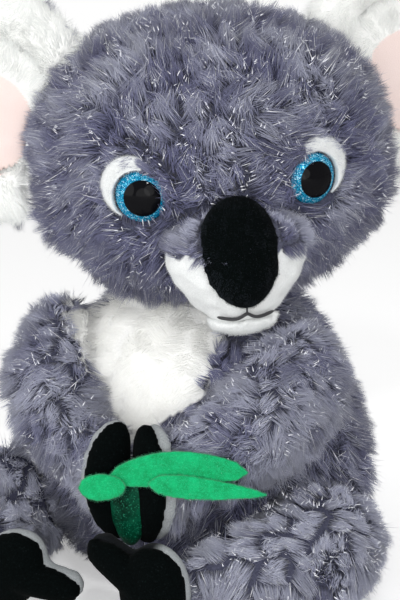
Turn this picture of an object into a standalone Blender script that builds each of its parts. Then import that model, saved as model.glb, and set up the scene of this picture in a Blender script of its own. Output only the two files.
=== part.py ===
"""A seated plush koala: a pear-shaped body, a big turned head with round ears, two arms
that hold a bunch of felt leaves, and two bent legs with velour soles.

Metres, +Z up. The koala sits on z = 0 over the origin and its chest faces -Y.
Left and right are the koala's own: its left side is at +X.
"""
import math

import bmesh
import bpy
from mathutils import Matrix, Vector

# Gap that touching pieces keep between them, and how far a cutter runs past what it cuts
SEAM_GAP = 0.0003
CUT_OVERRUN = 0.010

# Body: a pear with a flat base, round from the shoulders up
BODY_HEIGHT = 0.185
BODY_HALF_WIDTH = 0.1008
BODY_DEPTH_SHARE = 0.86
BODY_SWELL_SHARE = 0.30
BODY_BASE_SHARE = 0.40
BODY_TAPER_POWER = 1.55
BODY_OVAL_TOP_SHARE = 0.55
BODY_ROUND_FROM_SHARE = 0.80
BODY_SIDES = 36
BODY_RINGS = 15

# Base: a flat fabric panel closes a pocket that holds a bag of pellets
PANEL_RADIUS = 0.050
PANEL_THICKNESS = 0.003
BAG_RADIUS = 0.043
BAG_HEIGHT = 0.026
BAG_FULLNESS = 3.0
BASE_SIDES = 24
BAG_RINGS = 6

# Chest bib: a pad of white plush let into the front of the body
BIB_THICKNESS = 0.006
BIB_INSET = 0.0008
BIB_BOTTOM_SHARE = 0.50
BIB_TOP_SHARE = 0.88
BIB_TOP_HALF_ANGLE = 60.0
BIB_BOTTOM_HALF_ANGLE = 9.0
BIB_FLARE_POWER = 0.85
BIB_COLUMNS = 10
BIB_ROWS = 6

# Head: a wide round form that turns on the body about the upright neck axis
HEAD_HALF_WIDTH = 0.104
HEAD_HALF_DEPTH = 0.088
HEAD_HALF_HEIGHT = 0.082
HEAD_OVER_BODY = 0.0585
HEAD_HEIGHT = BODY_HEIGHT + HEAD_OVER_BODY
HEAD_FORWARD = 0.010
HEAD_FULLNESS = 2.15
HEAD_JOWL_SHARE = 0.07
HEAD_TURN = 29.8
HEAD_ROLL = -5.0
HEAD_SIDES = 36
HEAD_RINGS = 18

# Muzzle: a white pad under the nose, and the lower lip below its mouth line
MUZZLE_HALF_WIDTH = 0.0385
MUZZLE_HALF_DEPTH = 0.027
MUZZLE_HALF_HEIGHT = 0.039
MUZZLE_TOP_SHARE = 0.60
MUZZLE_TAPER_SHARE = 0.28
MUZZLE_FORWARD = 0.088
MUZZLE_DROP = 0.0430
MUZZLE_FULLNESS = 2.2
LIP_HALF_WIDTH = 0.0175
LIP_HALF_DEPTH = 0.013
LIP_HALF_HEIGHT = 0.0085
LIP_FORWARD = 0.0915
LIP_DROP = 0.0770
MUZZLE_SIDES = 22
MUZZLE_RINGS = 10
LIP_SIDES = 16
LIP_RINGS = 8

# Mouth: a thick stitched thread that runs in a groove between the muzzle and the lip
MOUTH_HALF_WIDTH = 0.0160
MOUTH_DROP = 0.0745
MOUTH_CURL = 0.0022
MOUTH_PEAK = 0.0040
MOUTH_PEAK_SHARE = 0.45
THREAD_RADIUS = 0.0008
THREAD_SIDES = 6
THREAD_STEPS = 12

# Nose: a stuffed velour oval that narrows downwards and leans back at its top
NOSE_HALF_WIDTH = 0.0212
NOSE_HALF_DEPTH = 0.015
NOSE_HALF_HEIGHT = 0.0288
NOSE_FORWARD = 0.107
NOSE_DROP = 0.0400
NOSE_LEAN = -14.0
NOSE_TAPER_SHARE = 0.16
NOSE_FULLNESS = 2.0
NOSE_SIDES = 20
NOSE_RINGS = 12

# Eyes: domed plastic with a ribbed stem through the head and a washer locked on it inside
EYE_SPACING = 0.098
EYE_DROP = 0.0105
EYE_RADIUS = 0.0144
EYE_DOME_HEIGHT = 0.0075
EYE_SEAT_DEPTH = 0.0072
STEM_RADIUS = 0.0030
STEM_LENGTH = 0.016
STEM_RIB_DEPTH = 0.0004
STEM_RIBS = 3
WASHER_RADIUS = 0.010
WASHER_THICKNESS = 0.002
WASHER_DEPTH = 0.005
EYE_SIDES = 22
EYE_RINGS = 5
STEM_SIDES = 10
WASHER_SIDES = 20

# Eye patches: discs of short white plush, set round each eye a little high and outwards
PATCH_RADIUS = 0.0175
PATCH_THICKNESS = 0.0045
PATCH_OUTWARD = 0.004
PATCH_UPWARD = 0.0055
PATCH_FACE_DEPTH = 0.0030
PATCH_RIM_SHARE = 0.55
PATCH_SIDES = 24

# Ears: a round back of grey plush, a padded white ring in front and a pink lining in it
EAR_RADIUS = 0.067
EAR_LINING_RADIUS = 0.039
EAR_BACK_DEPTH = 0.011
EAR_FRONT_DEPTH = 0.012
EAR_LINING_DEPTH = 0.004
EAR_REACH = 0.128
EAR_ROOT = 0.098
EAR_RISE = 17.0
EAR_BEHIND = 0.012
EAR_SPLAY = 12.0
EAR_FLEX = 10.0
EAR_SIDES = 30
EAR_BACK_RINGS = 4
EAR_FRONT_STEPS = 6
EAR_LINING_RINGS = 2

# Arms: bent tubes of plush from the shoulders to a pair of tall hands that face each other
SHOULDER_OUT = 0.062
SHOULDER_BACK = -0.012
SHOULDER_SHARE = 0.7135
SHOULDER_HEIGHT = SHOULDER_SHARE * BODY_HEIGHT
ARM_START_OUT = 0.058
ARM_ELBOW_OUT = 0.088
ARM_ELBOW_FORWARD = 0.071
ELBOW_SHARE = 0.627
ARM_ELBOW_HEIGHT = ELBOW_SHARE * BODY_HEIGHT
ARM_SHOULDER_RADIUS = 0.030
ARM_ELBOW_RADIUS = 0.031
ARM_WRIST_RADIUS = 0.019
ARM_SIDES = 16
ARM_RINGS = 12
ARM_LIFT = 12.0
ARM_LIFT_STEPS = 3

# Hands: a fur back, a light edge band and a black palm pad, bent like a bracket
HAND_OUT = 0.0205
HAND_SHIFT = 0.0025
HAND_FORWARD = 0.101
HAND_HEIGHT = 0.0765
HAND_TOE_IN = 30.0
HAND_HALF_WIDTH = 0.0150
HAND_HALF_DEPTH = 0.013
HAND_HALF_HEIGHT = 0.0315
HAND_BEND = 0.0065
HAND_EDGE_HALF_WIDTH = 0.0142
HAND_EDGE_HALF_DEPTH = 0.009
HAND_EDGE_HALF_HEIGHT = 0.0330
HAND_EDGE_FORWARD = 0.0075
PALM_HALF_WIDTH = 0.0112
PALM_HALF_DEPTH = 0.008
PALM_HALF_HEIGHT = 0.0315
PALM_FORWARD = 0.0130
HAND_FULLNESS = 2.3
HAND_SIDES = 16
HAND_RINGS = 8

# Leaves: two bright felt leaves and a folded stalk over a dark padded leaf between the palms
LEAF_TURN = 14.0
LEAF_OUT = 0.0183
LEAF_FORWARD = 0.1229
LEAF_HEIGHT = 0.0855
LEAF_THICKNESS = 0.0024
LEAF_LENGTH = 0.076
LEAF_HALF_WIDTH = 0.0095
LEAF_LEFT_SHARE = 0.30
LEAF_RISE = 0.004
LEAF_LIFT = 5.0
PRONG_LENGTH = 0.064
PRONG_HALF_WIDTH = 0.0054
PRONG_START = -0.001
PRONG_DROP = 0.0030
PRONG_TILT = 8.0
STALK_LENGTH = 0.026
STALK_HALF_WIDTH = 0.0075
STALK_START = -0.038
STALK_DROP = 0.004
DARK_LEAF_HALF_WIDTH = 0.0130
DARK_LEAF_HALF_DEPTH = 0.007
DARK_LEAF_HALF_HEIGHT = 0.0235
DARK_LEAF_TAPER_SHARE = 0.35
DARK_LEAF_OUT = 0.004
DARK_LEAF_FORWARD = 0.1155
DARK_LEAF_HEIGHT = 0.0660
LEAF_POINTS = 12
LEAF_TIP_POWER = 4
DARK_LEAF_SIDES = 14
DARK_LEAF_RINGS = 8

# Legs: bent outwards at the knee, with the feet in front of the body
HIP_OUT = 0.064
HIP_FORWARD = 0.042
LEG_START_OUT = 0.078
LEG_START_FORWARD = 0.020
LEG_START_RADIUS = 0.037
LEG_KNEE_OUT = 0.130
LEG_KNEE_SPREAD = 0.010
LEG_KNEE_FORWARD = 0.086
LEG_KNEE_RADIUS = 0.034
LEG_END_FORWARD = 0.122
LEG_ANKLE_RADIUS = 0.0215
LEG_GROUND_DIP = 0.0008
LEG_SIDES = 18
LEG_RINGS = 12
LEG_SWING = 15.0
LEG_SWING_STEPS = 3
LIMB_END_POWER = 4.0

# Feet: a light edge band and a black sole with a big lobe and a thumb-like one
FOOT_OUT = 0.0435
FOOT_SHIFT = -0.017
FOOT_FORWARD = 0.126
FOOT_HEIGHT = 0.0275
FOOT_HALF_WIDTH = 0.0190
FOOT_HALF_HEIGHT = 0.0265
FOOT_THUMB_RADIUS = 0.0085
FOOT_THUMB_REACH = 0.0365
FOOT_THUMB_ANGLE = 56.0
FOOT_LEFT_ROLL = 0.0
FOOT_RIGHT_ROLL = 42.0
FOOT_LEAN = 5.0
FOOT_EDGE_THICKNESS = 0.009
FOOT_EDGE_OVERLAP = 0.0022
FOOT_EDGE_BACK_SHARE = 0.94
FOOT_EDGE_FRONT_SHARE = 0.96
FOOT_EDGE_MIDDLE_SHARE = 0.5
SOLE_THICKNESS = 0.010
FOOT_SIDES = 40
FOOT_RINGS = 4

SIDES = {"left": 1, "right": -1}


def clear_scene():
    for item in list(bpy.data.objects):
        bpy.data.objects.remove(item, do_unlink=True)


def finish(name, colour, roughness, metallic=0.0):
    """Gives a piece its own Principled material."""
    surface = bpy.data.materials.new(name)
    surface.use_nodes = True
    shader = surface.node_tree.nodes["Principled BSDF"]
    shader.inputs["Base Color"].default_value = (*colour, 1.0)
    shader.inputs["Roughness"].default_value = roughness
    shader.inputs["Metallic"].default_value = metallic
    return surface


def pivot(name, parent=None, location=(0, 0, 0), turn=(0, 0, 0)):
    """Adds an empty that pieces are parented to; turn is in degrees about X, Y and Z."""
    empty = bpy.data.objects.new(name, None)
    bpy.context.scene.collection.objects.link(empty)
    empty.parent = parent
    empty.location = location
    empty.rotation_euler = [math.radians(angle) for angle in turn]
    bpy.context.view_layer.update()
    return empty


def add_piece(name, shape, surface, parent=None, location=(0, 0, 0), turn=(0, 0, 0)):
    """Turns a bmesh into a named object with its own material."""
    bmesh.ops.recalc_face_normals(shape, faces=shape.faces)
    mesh = bpy.data.meshes.new(name)
    shape.to_mesh(mesh)
    shape.free()
    mesh.shade_smooth()
    mesh.materials.append(surface)
    piece = bpy.data.objects.new(name, mesh)
    bpy.context.scene.collection.objects.link(piece)
    piece.parent = parent
    piece.location = location
    piece.rotation_euler = [math.radians(angle) for angle in turn]
    bpy.context.view_layer.update()
    return piece


def hidden_tool(name, shape, placing):
    """Adds a cutter, which is a guide and no part of the koala."""
    bmesh.ops.transform(shape, matrix=placing, verts=shape.verts)
    bmesh.ops.recalc_face_normals(shape, faces=shape.faces)
    mesh = bpy.data.meshes.new(name)
    shape.to_mesh(mesh)
    shape.free()
    tool = bpy.data.objects.new(name, mesh)
    bpy.context.scene.collection.objects.link(tool)
    tool.hide_render = True
    tool.display_type = "WIRE"
    return tool


def combine(piece, tool, operation):
    step = piece.modifiers.new(tool.name, "BOOLEAN")
    step.operation = operation
    step.solver = "EXACT"
    step.object = tool


def carve(piece, shape, placing):
    """Cuts a shape out of a piece."""
    combine(piece, hidden_tool(piece.name + "_cutter", shape, placing), "DIFFERENCE")


def carve_path(piece, make_shape, placing, hinge, axis, limit, steps):
    """Cuts a neighbour out of a piece wherever the piece meets it between rest and a limit.

    The piece turns about the hinge, so the neighbour is turned the other way round it.
    """
    point = hinge.matrix_world.translation
    direction = hinge.matrix_world.to_3x3() @ Vector(axis)
    for step in range(steps):
        angle = -math.radians(limit) * step / (steps - 1)
        turning = Matrix.Translation(point) @ Matrix.Rotation(angle, 4, direction)
        carve(piece, make_shape(), turning @ Matrix.Translation(-point) @ placing)


def closed_form(bands, first_pole=None, last_pole=None):
    """Joins rings of points to one closed body; an end with no pole is closed flat."""
    shape = bmesh.new()
    loops = [[shape.verts.new(point) for point in band] for band in bands]
    for near, far in zip(loops, loops[1:]):
        for index, corner in enumerate(near):
            after = (index + 1) % len(near)
            shape.faces.new((corner, near[after], far[after], far[index]))
    for loop, pole in ((loops[0], first_pole), (loops[-1], last_pole)):
        if pole is None:
            shape.faces.new(loop)
            continue
        tip = shape.verts.new(pole)
        for index, corner in enumerate(loop):
            shape.faces.new((corner, loop[(index + 1) % len(loop)], tip))
    return shape


def around(sides):
    """Yields the angles of a full turn."""
    return [2 * math.pi * index / sides for index in range(sides)]


def rounded_form(half_sizes, fullness, sides, rings, reshape=None):
    """A closed egg or pebble, oval from above; from the side fullness 2 is an ellipse and
    more is boxier."""
    def surface(direction):
        planar = math.hypot(direction[0], direction[1])
        reach = (planar ** fullness + abs(direction[2]) ** fullness) ** (-1 / fullness)
        point = Vector([value * reach * half for value, half in zip(direction, half_sizes)])
        return reshape(point) if reshape else point

    bands = []
    for ring in range(1, rings):
        polar = math.pi * ring / rings
        bands.append([surface((math.sin(polar) * math.cos(turn),
                               math.sin(polar) * math.sin(turn),
                               math.cos(polar))) for turn in around(sides)])
    return closed_form(bands, surface((0, 0, 1)), surface((0, 0, -1)))


def front_of(x, z, half_sizes, fullness):
    """How far a rounded form reaches forward of its middle at this place."""
    half_width, half_depth, half_height = half_sizes
    planar = (1 - (abs(z) / half_height) ** fullness) ** (1 / fullness)
    return half_depth * math.sqrt(planar ** 2 - (x / half_width) ** 2)


def turned_form(profile, sides):
    """Turns a profile of (radius, height) points about Z, with flat ends."""
    return closed_form([[(radius * math.cos(turn), radius * math.sin(turn), height)
                         for turn in around(sides)] for radius, height in profile])


def turned_ring(profile, sides):
    """Turns a closed profile of (radius, height) points about Z into a ring."""
    shape = bmesh.new()
    loops = []
    for turn in around(sides):
        loops.append([shape.verts.new((radius * math.cos(turn), radius * math.sin(turn),
                                       height)) for radius, height in profile])
    for index, loop in enumerate(loops):
        beside = loops[(index + 1) % sides]
        for corner in range(len(profile)):
            after = (corner + 1) % len(profile)
            shape.faces.new((loop[corner], loop[after], beside[after], beside[corner]))
    return shape


def domed_form(outline, depth, rings):
    """A flat back with this outline in XZ and a dome that bulges to -Y."""
    bands = []
    for ring in range(rings):
        polar = math.pi / 2 * ring / rings
        bands.append([(x * math.cos(polar), -depth * math.sin(polar), z * math.cos(polar))
                      for x, z in outline])
    return closed_form(bands, None, (0, -depth, 0))


def flat_form(outline, thickness):
    """A plate with this outline in XZ, centred on y = 0."""
    return closed_form([[(x, y, z) for x, z in outline]
                        for y in (-thickness / 2, thickness / 2)])


def limb_form(start, bend, end, radii, sides, rings):
    """A plush tube along a curve that starts, bends and ends at these points."""
    start, bend, end = Vector(start), Vector(bend), Vector(end)
    bands = []
    for ring in range(1, rings):
        along = (1 - math.cos(math.pi * ring / rings)) / 2
        centre = start.lerp(bend, along).lerp(bend.lerp(end, along), along)
        heading = (bend.lerp(end, along) - start.lerp(bend, along)).normalized()
        aside = heading.cross(Vector((0, 0, 1))).normalized()
        upward = aside.cross(heading)
        closing = (1 - abs(2 * along - 1) ** LIMB_END_POWER) ** (1 / LIMB_END_POWER)
        radius = closing * (radii[0] * (1 - along) * (1 - 2 * along)
                            + radii[1] * 4 * along * (1 - along)
                            + radii[2] * along * (2 * along - 1))
        bands.append([centre + (aside * math.cos(turn) + upward * math.sin(turn)) * radius
                      for turn in around(sides)])
    return closed_form(bands, start, end)


def body_half_width(share):
    if share < BODY_SWELL_SHARE:
        return BODY_HALF_WIDTH * math.sqrt(1 - ((BODY_SWELL_SHARE - share) / BODY_BASE_SHARE) ** 2)
    rise = (share - BODY_SWELL_SHARE) / (1 - BODY_SWELL_SHARE)
    return BODY_HALF_WIDTH * math.sqrt(max(0, 1 - rise ** BODY_TAPER_POWER))


def body_depth_share(share):
    """The body is oval below the chest and round above the shoulders, for the neck to turn."""
    blend = (share - BODY_OVAL_TOP_SHARE) / (BODY_ROUND_FROM_SHARE - BODY_OVAL_TOP_SHARE)
    blend = min(1, max(0, blend))
    return BODY_DEPTH_SHARE + (1 - BODY_DEPTH_SHARE) * blend * blend * (3 - 2 * blend)


def body_point(angle, share, growth):
    """A point of the body's skin; angle 0 is the middle of the chest."""
    half_width = body_half_width(share)
    half_depth = half_width * body_depth_share(share)
    return ((half_width + growth) * math.sin(angle),
            -(half_depth + growth) * math.cos(angle), BODY_HEIGHT * share)


def body_form(growth=0.0):
    """The whole body; a grown one is the cutter that leaves room for it."""
    bands = []
    for ring in range(BODY_RINGS):
        share = math.sin(math.pi / 2 * ring / BODY_RINGS)
        bands.append([body_point(turn, share, growth) for turn in around(BODY_SIDES)])
    if growth:
        base = [Vector(point) for point in bands[0]]
        bands.insert(0, [point - Vector((0, 0, CUT_OVERRUN)) for point in base])
    return closed_form(bands, None, (0, 0, BODY_HEIGHT + growth))


def muzzle_front(x, z):
    """How far the muzzle reaches forward of its middle at this place below its middle."""
    half_width = MUZZLE_HALF_WIDTH * (1 + MUZZLE_TAPER_SHARE * z / MUZZLE_HALF_HEIGHT)
    return front_of(x, z, (half_width, MUZZLE_HALF_DEPTH, MUZZLE_HALF_HEIGHT), MUZZLE_FULLNESS)


def jowl_swell(height):
    """How much wider than an egg the head is at a height over its middle."""
    drop = min(1, max(0, -height / HEAD_HALF_HEIGHT))
    return 1 + HEAD_JOWL_SHARE * math.sin(math.pi * drop)


def head_form(growth=0.0):
    """The head, fuller at the cheeks than over the eyes."""
    def swell(point):
        grow = jowl_swell(point.z)
        return Vector((point.x * grow, point.y * grow, point.z))

    half_sizes = (HEAD_HALF_WIDTH + growth, HEAD_HALF_DEPTH + growth, HEAD_HALF_HEIGHT + growth)
    return rounded_form(half_sizes, HEAD_FULLNESS, HEAD_SIDES, HEAD_RINGS, swell)


def muzzle_form(growth=0.0):
    """A cup that narrows towards the chin, with a low rounded top."""
    def cup(point):
        if point.z > 0:
            return Vector((point.x, point.y, point.z * MUZZLE_TOP_SHARE))
        narrow = 1 + MUZZLE_TAPER_SHARE * point.z / MUZZLE_HALF_HEIGHT
        return Vector((point.x * narrow, point.y, point.z))

    half_sizes = (MUZZLE_HALF_WIDTH + growth, MUZZLE_HALF_DEPTH + growth,
                  MUZZLE_HALF_HEIGHT + growth)
    return rounded_form(half_sizes, MUZZLE_FULLNESS, MUZZLE_SIDES, MUZZLE_RINGS, cup)


def nose_form(growth=0.0):
    """An egg that narrows towards its bottom."""
    def narrow(point):
        point.x *= 1 + NOSE_TAPER_SHARE * point.z / NOSE_HALF_HEIGHT
        return point

    half_sizes = (NOSE_HALF_WIDTH + growth, NOSE_HALF_DEPTH + growth, NOSE_HALF_HEIGHT + growth)
    return rounded_form(half_sizes, NOSE_FULLNESS, NOSE_SIDES, NOSE_RINGS, narrow)


def hand_layer(half_width, half_depth, half_height, side, growth=0.0):
    """One layer of a hand, whose two ends bend towards the other hand."""
    def bracket(point):
        point.x -= side * HAND_BEND * (point.z / half_height) ** 2
        return point

    half_sizes = (half_width + growth, half_depth + growth, half_height + growth)
    return rounded_form(half_sizes, HAND_FULLNESS, HAND_SIDES, HAND_RINGS, bracket)


def add_body():
    """The stuffed body, with the pocket for its pellet bag cut from below."""
    body = add_piece("body_plush", body_form(), finish("body_plush", (0.17, 0.17, 0.23), 0.9))
    recess = PANEL_THICKNESS + SEAM_GAP
    pocket_top = recess + BAG_HEIGHT + SEAM_GAP
    profile = [(PANEL_RADIUS + SEAM_GAP, -CUT_OVERRUN), (PANEL_RADIUS + SEAM_GAP, recess),
               (BAG_RADIUS + SEAM_GAP, recess), (BAG_RADIUS + SEAM_GAP, pocket_top)]
    carve(body, turned_form(profile, BASE_SIDES), Matrix())
    return body


def add_base():
    panel = turned_form([(PANEL_RADIUS, 0), (PANEL_RADIUS, PANEL_THICKNESS)], BASE_SIDES)
    add_piece("bottom_panel", panel, finish("bottom_panel", (0.15, 0.15, 0.20), 0.9))
    bag = rounded_form((BAG_RADIUS, BAG_RADIUS, BAG_HEIGHT / 2), BAG_FULLNESS,
                       BASE_SIDES, BAG_RINGS)
    add_piece("pellet_bag", bag, finish("pellet_bag", (0.75, 0.74, 0.70), 0.8),
              location=(0, 0, PANEL_THICKNESS + SEAM_GAP + BAG_HEIGHT / 2))


def bib_form(growth=0.0):
    """A pad let into the chest; a grown one is the cutter that makes room for it."""
    shape = bmesh.new()
    inner, outer = [], []
    depth = BIB_THICKNESS + BIB_INSET + growth
    front = CUT_OVERRUN if growth else -BIB_INSET
    bottom = BIB_BOTTOM_SHARE - growth / BODY_HEIGHT
    top = BIB_TOP_SHARE + growth / BODY_HEIGHT
    for row in range(BIB_ROWS + 1):
        rise = row / BIB_ROWS
        share = bottom + (top - bottom) * rise
        spread = BIB_TOP_HALF_ANGLE - BIB_BOTTOM_HALF_ANGLE
        half_angle = math.radians(BIB_BOTTOM_HALF_ANGLE + spread * rise ** BIB_FLARE_POWER)
        half_angle += growth / body_half_width(share)
        inner_row, outer_row = [], []
        for column in range(BIB_COLUMNS + 1):
            angle = half_angle * (2 * column / BIB_COLUMNS - 1)
            inner_row.append(shape.verts.new(body_point(angle, share, -depth)))
            outer_row.append(shape.verts.new(body_point(angle, share, front)))
        inner.append(inner_row)
        outer.append(outer_row)
    for grid in (inner, outer):
        for row in range(BIB_ROWS):
            for column in range(BIB_COLUMNS):
                shape.faces.new((grid[row][column], grid[row][column + 1],
                                 grid[row + 1][column + 1], grid[row + 1][column]))
    for column in range(BIB_COLUMNS):
        for row in (0, BIB_ROWS):
            shape.faces.new((inner[row][column], inner[row][column + 1],
                             outer[row][column + 1], outer[row][column]))
    for row in range(BIB_ROWS):
        for column in (0, BIB_COLUMNS):
            shape.faces.new((inner[row][column], inner[row + 1][column],
                             outer[row + 1][column], outer[row][column]))
    bmesh.ops.triangulate(shape, faces=shape.faces, quad_method="FIXED")
    return shape


def add_head(neck):
    """The stuffed head, hollowed below where it sits on the dome of the body."""
    head = add_piece("head_plush", head_form(), finish("head_plush", (0.18, 0.18, 0.24), 0.9),
                     neck, (0, -HEAD_FORWARD, 0))
    carve(head, body_form(SEAM_GAP), Matrix())
    return head


def mouth_path(growth):
    """Points along the mouth line, clear of the muzzle's skin by this much."""
    points = []
    for step in range(THREAD_STEPS + 1):
        across = 2 * step / THREAD_STEPS - 1
        x = MOUTH_HALF_WIDTH * across
        peak = max(0, 1 - abs(across) / MOUTH_PEAK_SHARE) ** 2
        z = MUZZLE_DROP - MOUTH_DROP + MOUTH_CURL * across ** 2 + MOUTH_PEAK * peak
        points.append(Vector((x, -muzzle_front(x, z) - growth, z)))
    return points


def thread_form(radius):
    """A thread along the mouth line, thin at both ends."""
    path = mouth_path(2 * THREAD_RADIUS)
    bands = []
    for index in range(1, len(path) - 1):
        heading = (path[index + 1] - path[index - 1]).normalized()
        aside = heading.cross(Vector((0, 0, 1))).normalized()
        upward = aside.cross(heading)
        bands.append([path[index] + (aside * math.cos(turn) + upward * math.sin(turn)) * radius
                      for turn in around(THREAD_SIDES)])
    return closed_form(bands, path[0], path[-1])


def add_muzzle(neck, head):
    muzzle = add_piece("muzzle", muzzle_form(), finish("muzzle", (0.88, 0.88, 0.90), 0.85),
                       neck, (0, -HEAD_FORWARD - MUZZLE_FORWARD, -MUZZLE_DROP))
    carve(muzzle, head_form(SEAM_GAP), head.matrix_world)
    thread = add_piece("mouth_stitch", thread_form(THREAD_RADIUS),
                       finish("mouth_stitch", (0.02, 0.02, 0.025), 0.6), neck, muzzle.location)
    lip = rounded_form((LIP_HALF_WIDTH, LIP_HALF_DEPTH, LIP_HALF_HEIGHT), MUZZLE_FULLNESS,
                       LIP_SIDES, LIP_RINGS)
    lip = add_piece("lower_lip", lip, finish("lower_lip", (0.86, 0.86, 0.88), 0.85),
                    neck, (0, -HEAD_FORWARD - LIP_FORWARD, -LIP_DROP))
    carve(lip, head_form(SEAM_GAP), head.matrix_world)
    carve(lip, muzzle_form(SEAM_GAP), muzzle.matrix_world)
    carve(lip, thread_form(THREAD_RADIUS + SEAM_GAP), thread.matrix_world)
    return muzzle, lip


def add_nose(neck, head, muzzle, lip):
    nose = add_piece("nose", nose_form(), finish("nose", (0.012, 0.012, 0.016), 0.8),
                     neck, (0, -HEAD_FORWARD - NOSE_FORWARD, -NOSE_DROP), (NOSE_LEAN, 0, 0))
    carve(nose, head_form(SEAM_GAP), head.matrix_world)
    carve(nose, muzzle_form(SEAM_GAP), muzzle.matrix_world)
    carve(lip, nose_form(SEAM_GAP), nose.matrix_world)
    return nose


def add_eye(label, side, neck, head):
    """An eye dome on its patch, with its stem and washer inside the head."""
    aside = EYE_SPACING / 2
    swell = jowl_swell(-EYE_DROP)
    forward = swell * front_of(aside / swell, EYE_DROP,
                               (HEAD_HALF_WIDTH, HEAD_HALF_DEPTH, HEAD_HALF_HEIGHT),
                               HEAD_FULLNESS)
    steepness = HEAD_FULLNESS - 1
    outward = Vector((side * aside / HEAD_HALF_WIDTH ** 2, -forward / HEAD_HALF_DEPTH ** 2,
                      -(EYE_DROP / HEAD_HALF_HEIGHT) ** steepness / HEAD_HALF_HEIGHT))
    socket = pivot(label + "_eye_socket", neck,
                   (side * aside, -HEAD_FORWARD - forward, -EYE_DROP))
    socket.rotation_euler = outward.to_track_quat("Z", "Y").to_euler()
    bpy.context.view_layer.update()

    dome = [(EYE_RADIUS * math.cos(math.pi / 2 * ring / EYE_RINGS),
             EYE_DOME_HEIGHT * math.sin(math.pi / 2 * ring / EYE_RINGS) - EYE_SEAT_DEPTH)
            for ring in range(EYE_RINGS)]
    dome = closed_form([[(radius * math.cos(angle), radius * math.sin(angle), height)
                         for angle in around(EYE_SIDES)] for radius, height in dome],
                       None, (0, 0, EYE_DOME_HEIGHT - EYE_SEAT_DEPTH))
    add_piece(label + "_eye_dome", dome, finish(label + "_eye_dome", (0.02, 0.20, 0.42), 0.1),
              socket)

    top = -EYE_SEAT_DEPTH - SEAM_GAP
    ribs = [(STEM_RADIUS, top)]
    for rib in range(STEM_RIBS):
        height = top - STEM_LENGTH * (rib + 1) / (STEM_RIBS + 1)
        ribs += [(STEM_RADIUS, height + STEM_RIB_DEPTH), (STEM_RADIUS - STEM_RIB_DEPTH, height),
                 (STEM_RADIUS, height - STEM_RIB_DEPTH)]
    ribs.append((STEM_RADIUS, top - STEM_LENGTH))
    add_piece(label + "_eye_stem", turned_form(ribs, STEM_SIDES),
              finish(label + "_eye_stem", (0.02, 0.02, 0.02), 0.4), socket)

    washer_top = top - WASHER_DEPTH
    bore = STEM_RADIUS + SEAM_GAP
    washer = turned_ring([(WASHER_RADIUS, washer_top - WASHER_THICKNESS),
                          (WASHER_RADIUS, washer_top), (bore, washer_top),
                          (bore, washer_top - WASHER_THICKNESS)], WASHER_SIDES)
    add_piece(label + "_eye_washer", washer,
              finish(label + "_eye_washer", (0.80, 0.80, 0.78), 0.5), socket)

    stem_end = top - STEM_LENGTH - SEAM_GAP
    cavity = [(EYE_RADIUS + SEAM_GAP, CUT_OVERRUN), (EYE_RADIUS + SEAM_GAP, top), (bore, top),
              (bore, washer_top + SEAM_GAP), (WASHER_RADIUS + SEAM_GAP, washer_top + SEAM_GAP),
              (WASHER_RADIUS + SEAM_GAP, washer_top - WASHER_THICKNESS - SEAM_GAP),
              (bore, washer_top - WASHER_THICKNESS - SEAM_GAP), (bore, stem_end)]
    carve(head, turned_form(cavity, EYE_SIDES), socket.matrix_world)

    patch_place = Matrix.Translation((side * PATCH_OUTWARD, PATCH_UPWARD, 0))
    face = -PATCH_FACE_DEPTH
    back = face - PATCH_THICKNESS
    rim = PATCH_THICKNESS * PATCH_RIM_SHARE
    patch = [(PATCH_RADIUS, back), (PATCH_RADIUS, back + rim), (PATCH_RADIUS - rim, face)]
    patch = turned_form(patch, PATCH_SIDES)
    bmesh.ops.poke(patch, faces=[flat for flat in patch.faces if len(flat.verts) == PATCH_SIDES])
    bmesh.ops.transform(patch, matrix=patch_place, verts=patch.verts)
    patch = add_piece(label + "_eye_patch", patch,
                      finish(label + "_eye_patch", (0.90, 0.90, 0.92), 0.9), socket)
    seat = [(EYE_RADIUS + SEAM_GAP, CUT_OVERRUN), (EYE_RADIUS + SEAM_GAP, -CUT_OVERRUN)]
    carve(patch, turned_form(seat, EYE_SIDES), socket.matrix_world)
    recess = [(PATCH_RADIUS + SEAM_GAP, CUT_OVERRUN), (PATCH_RADIUS + SEAM_GAP, back - SEAM_GAP)]
    carve(head, turned_form(recess, PATCH_SIDES), socket.matrix_world @ patch_place)


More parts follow.
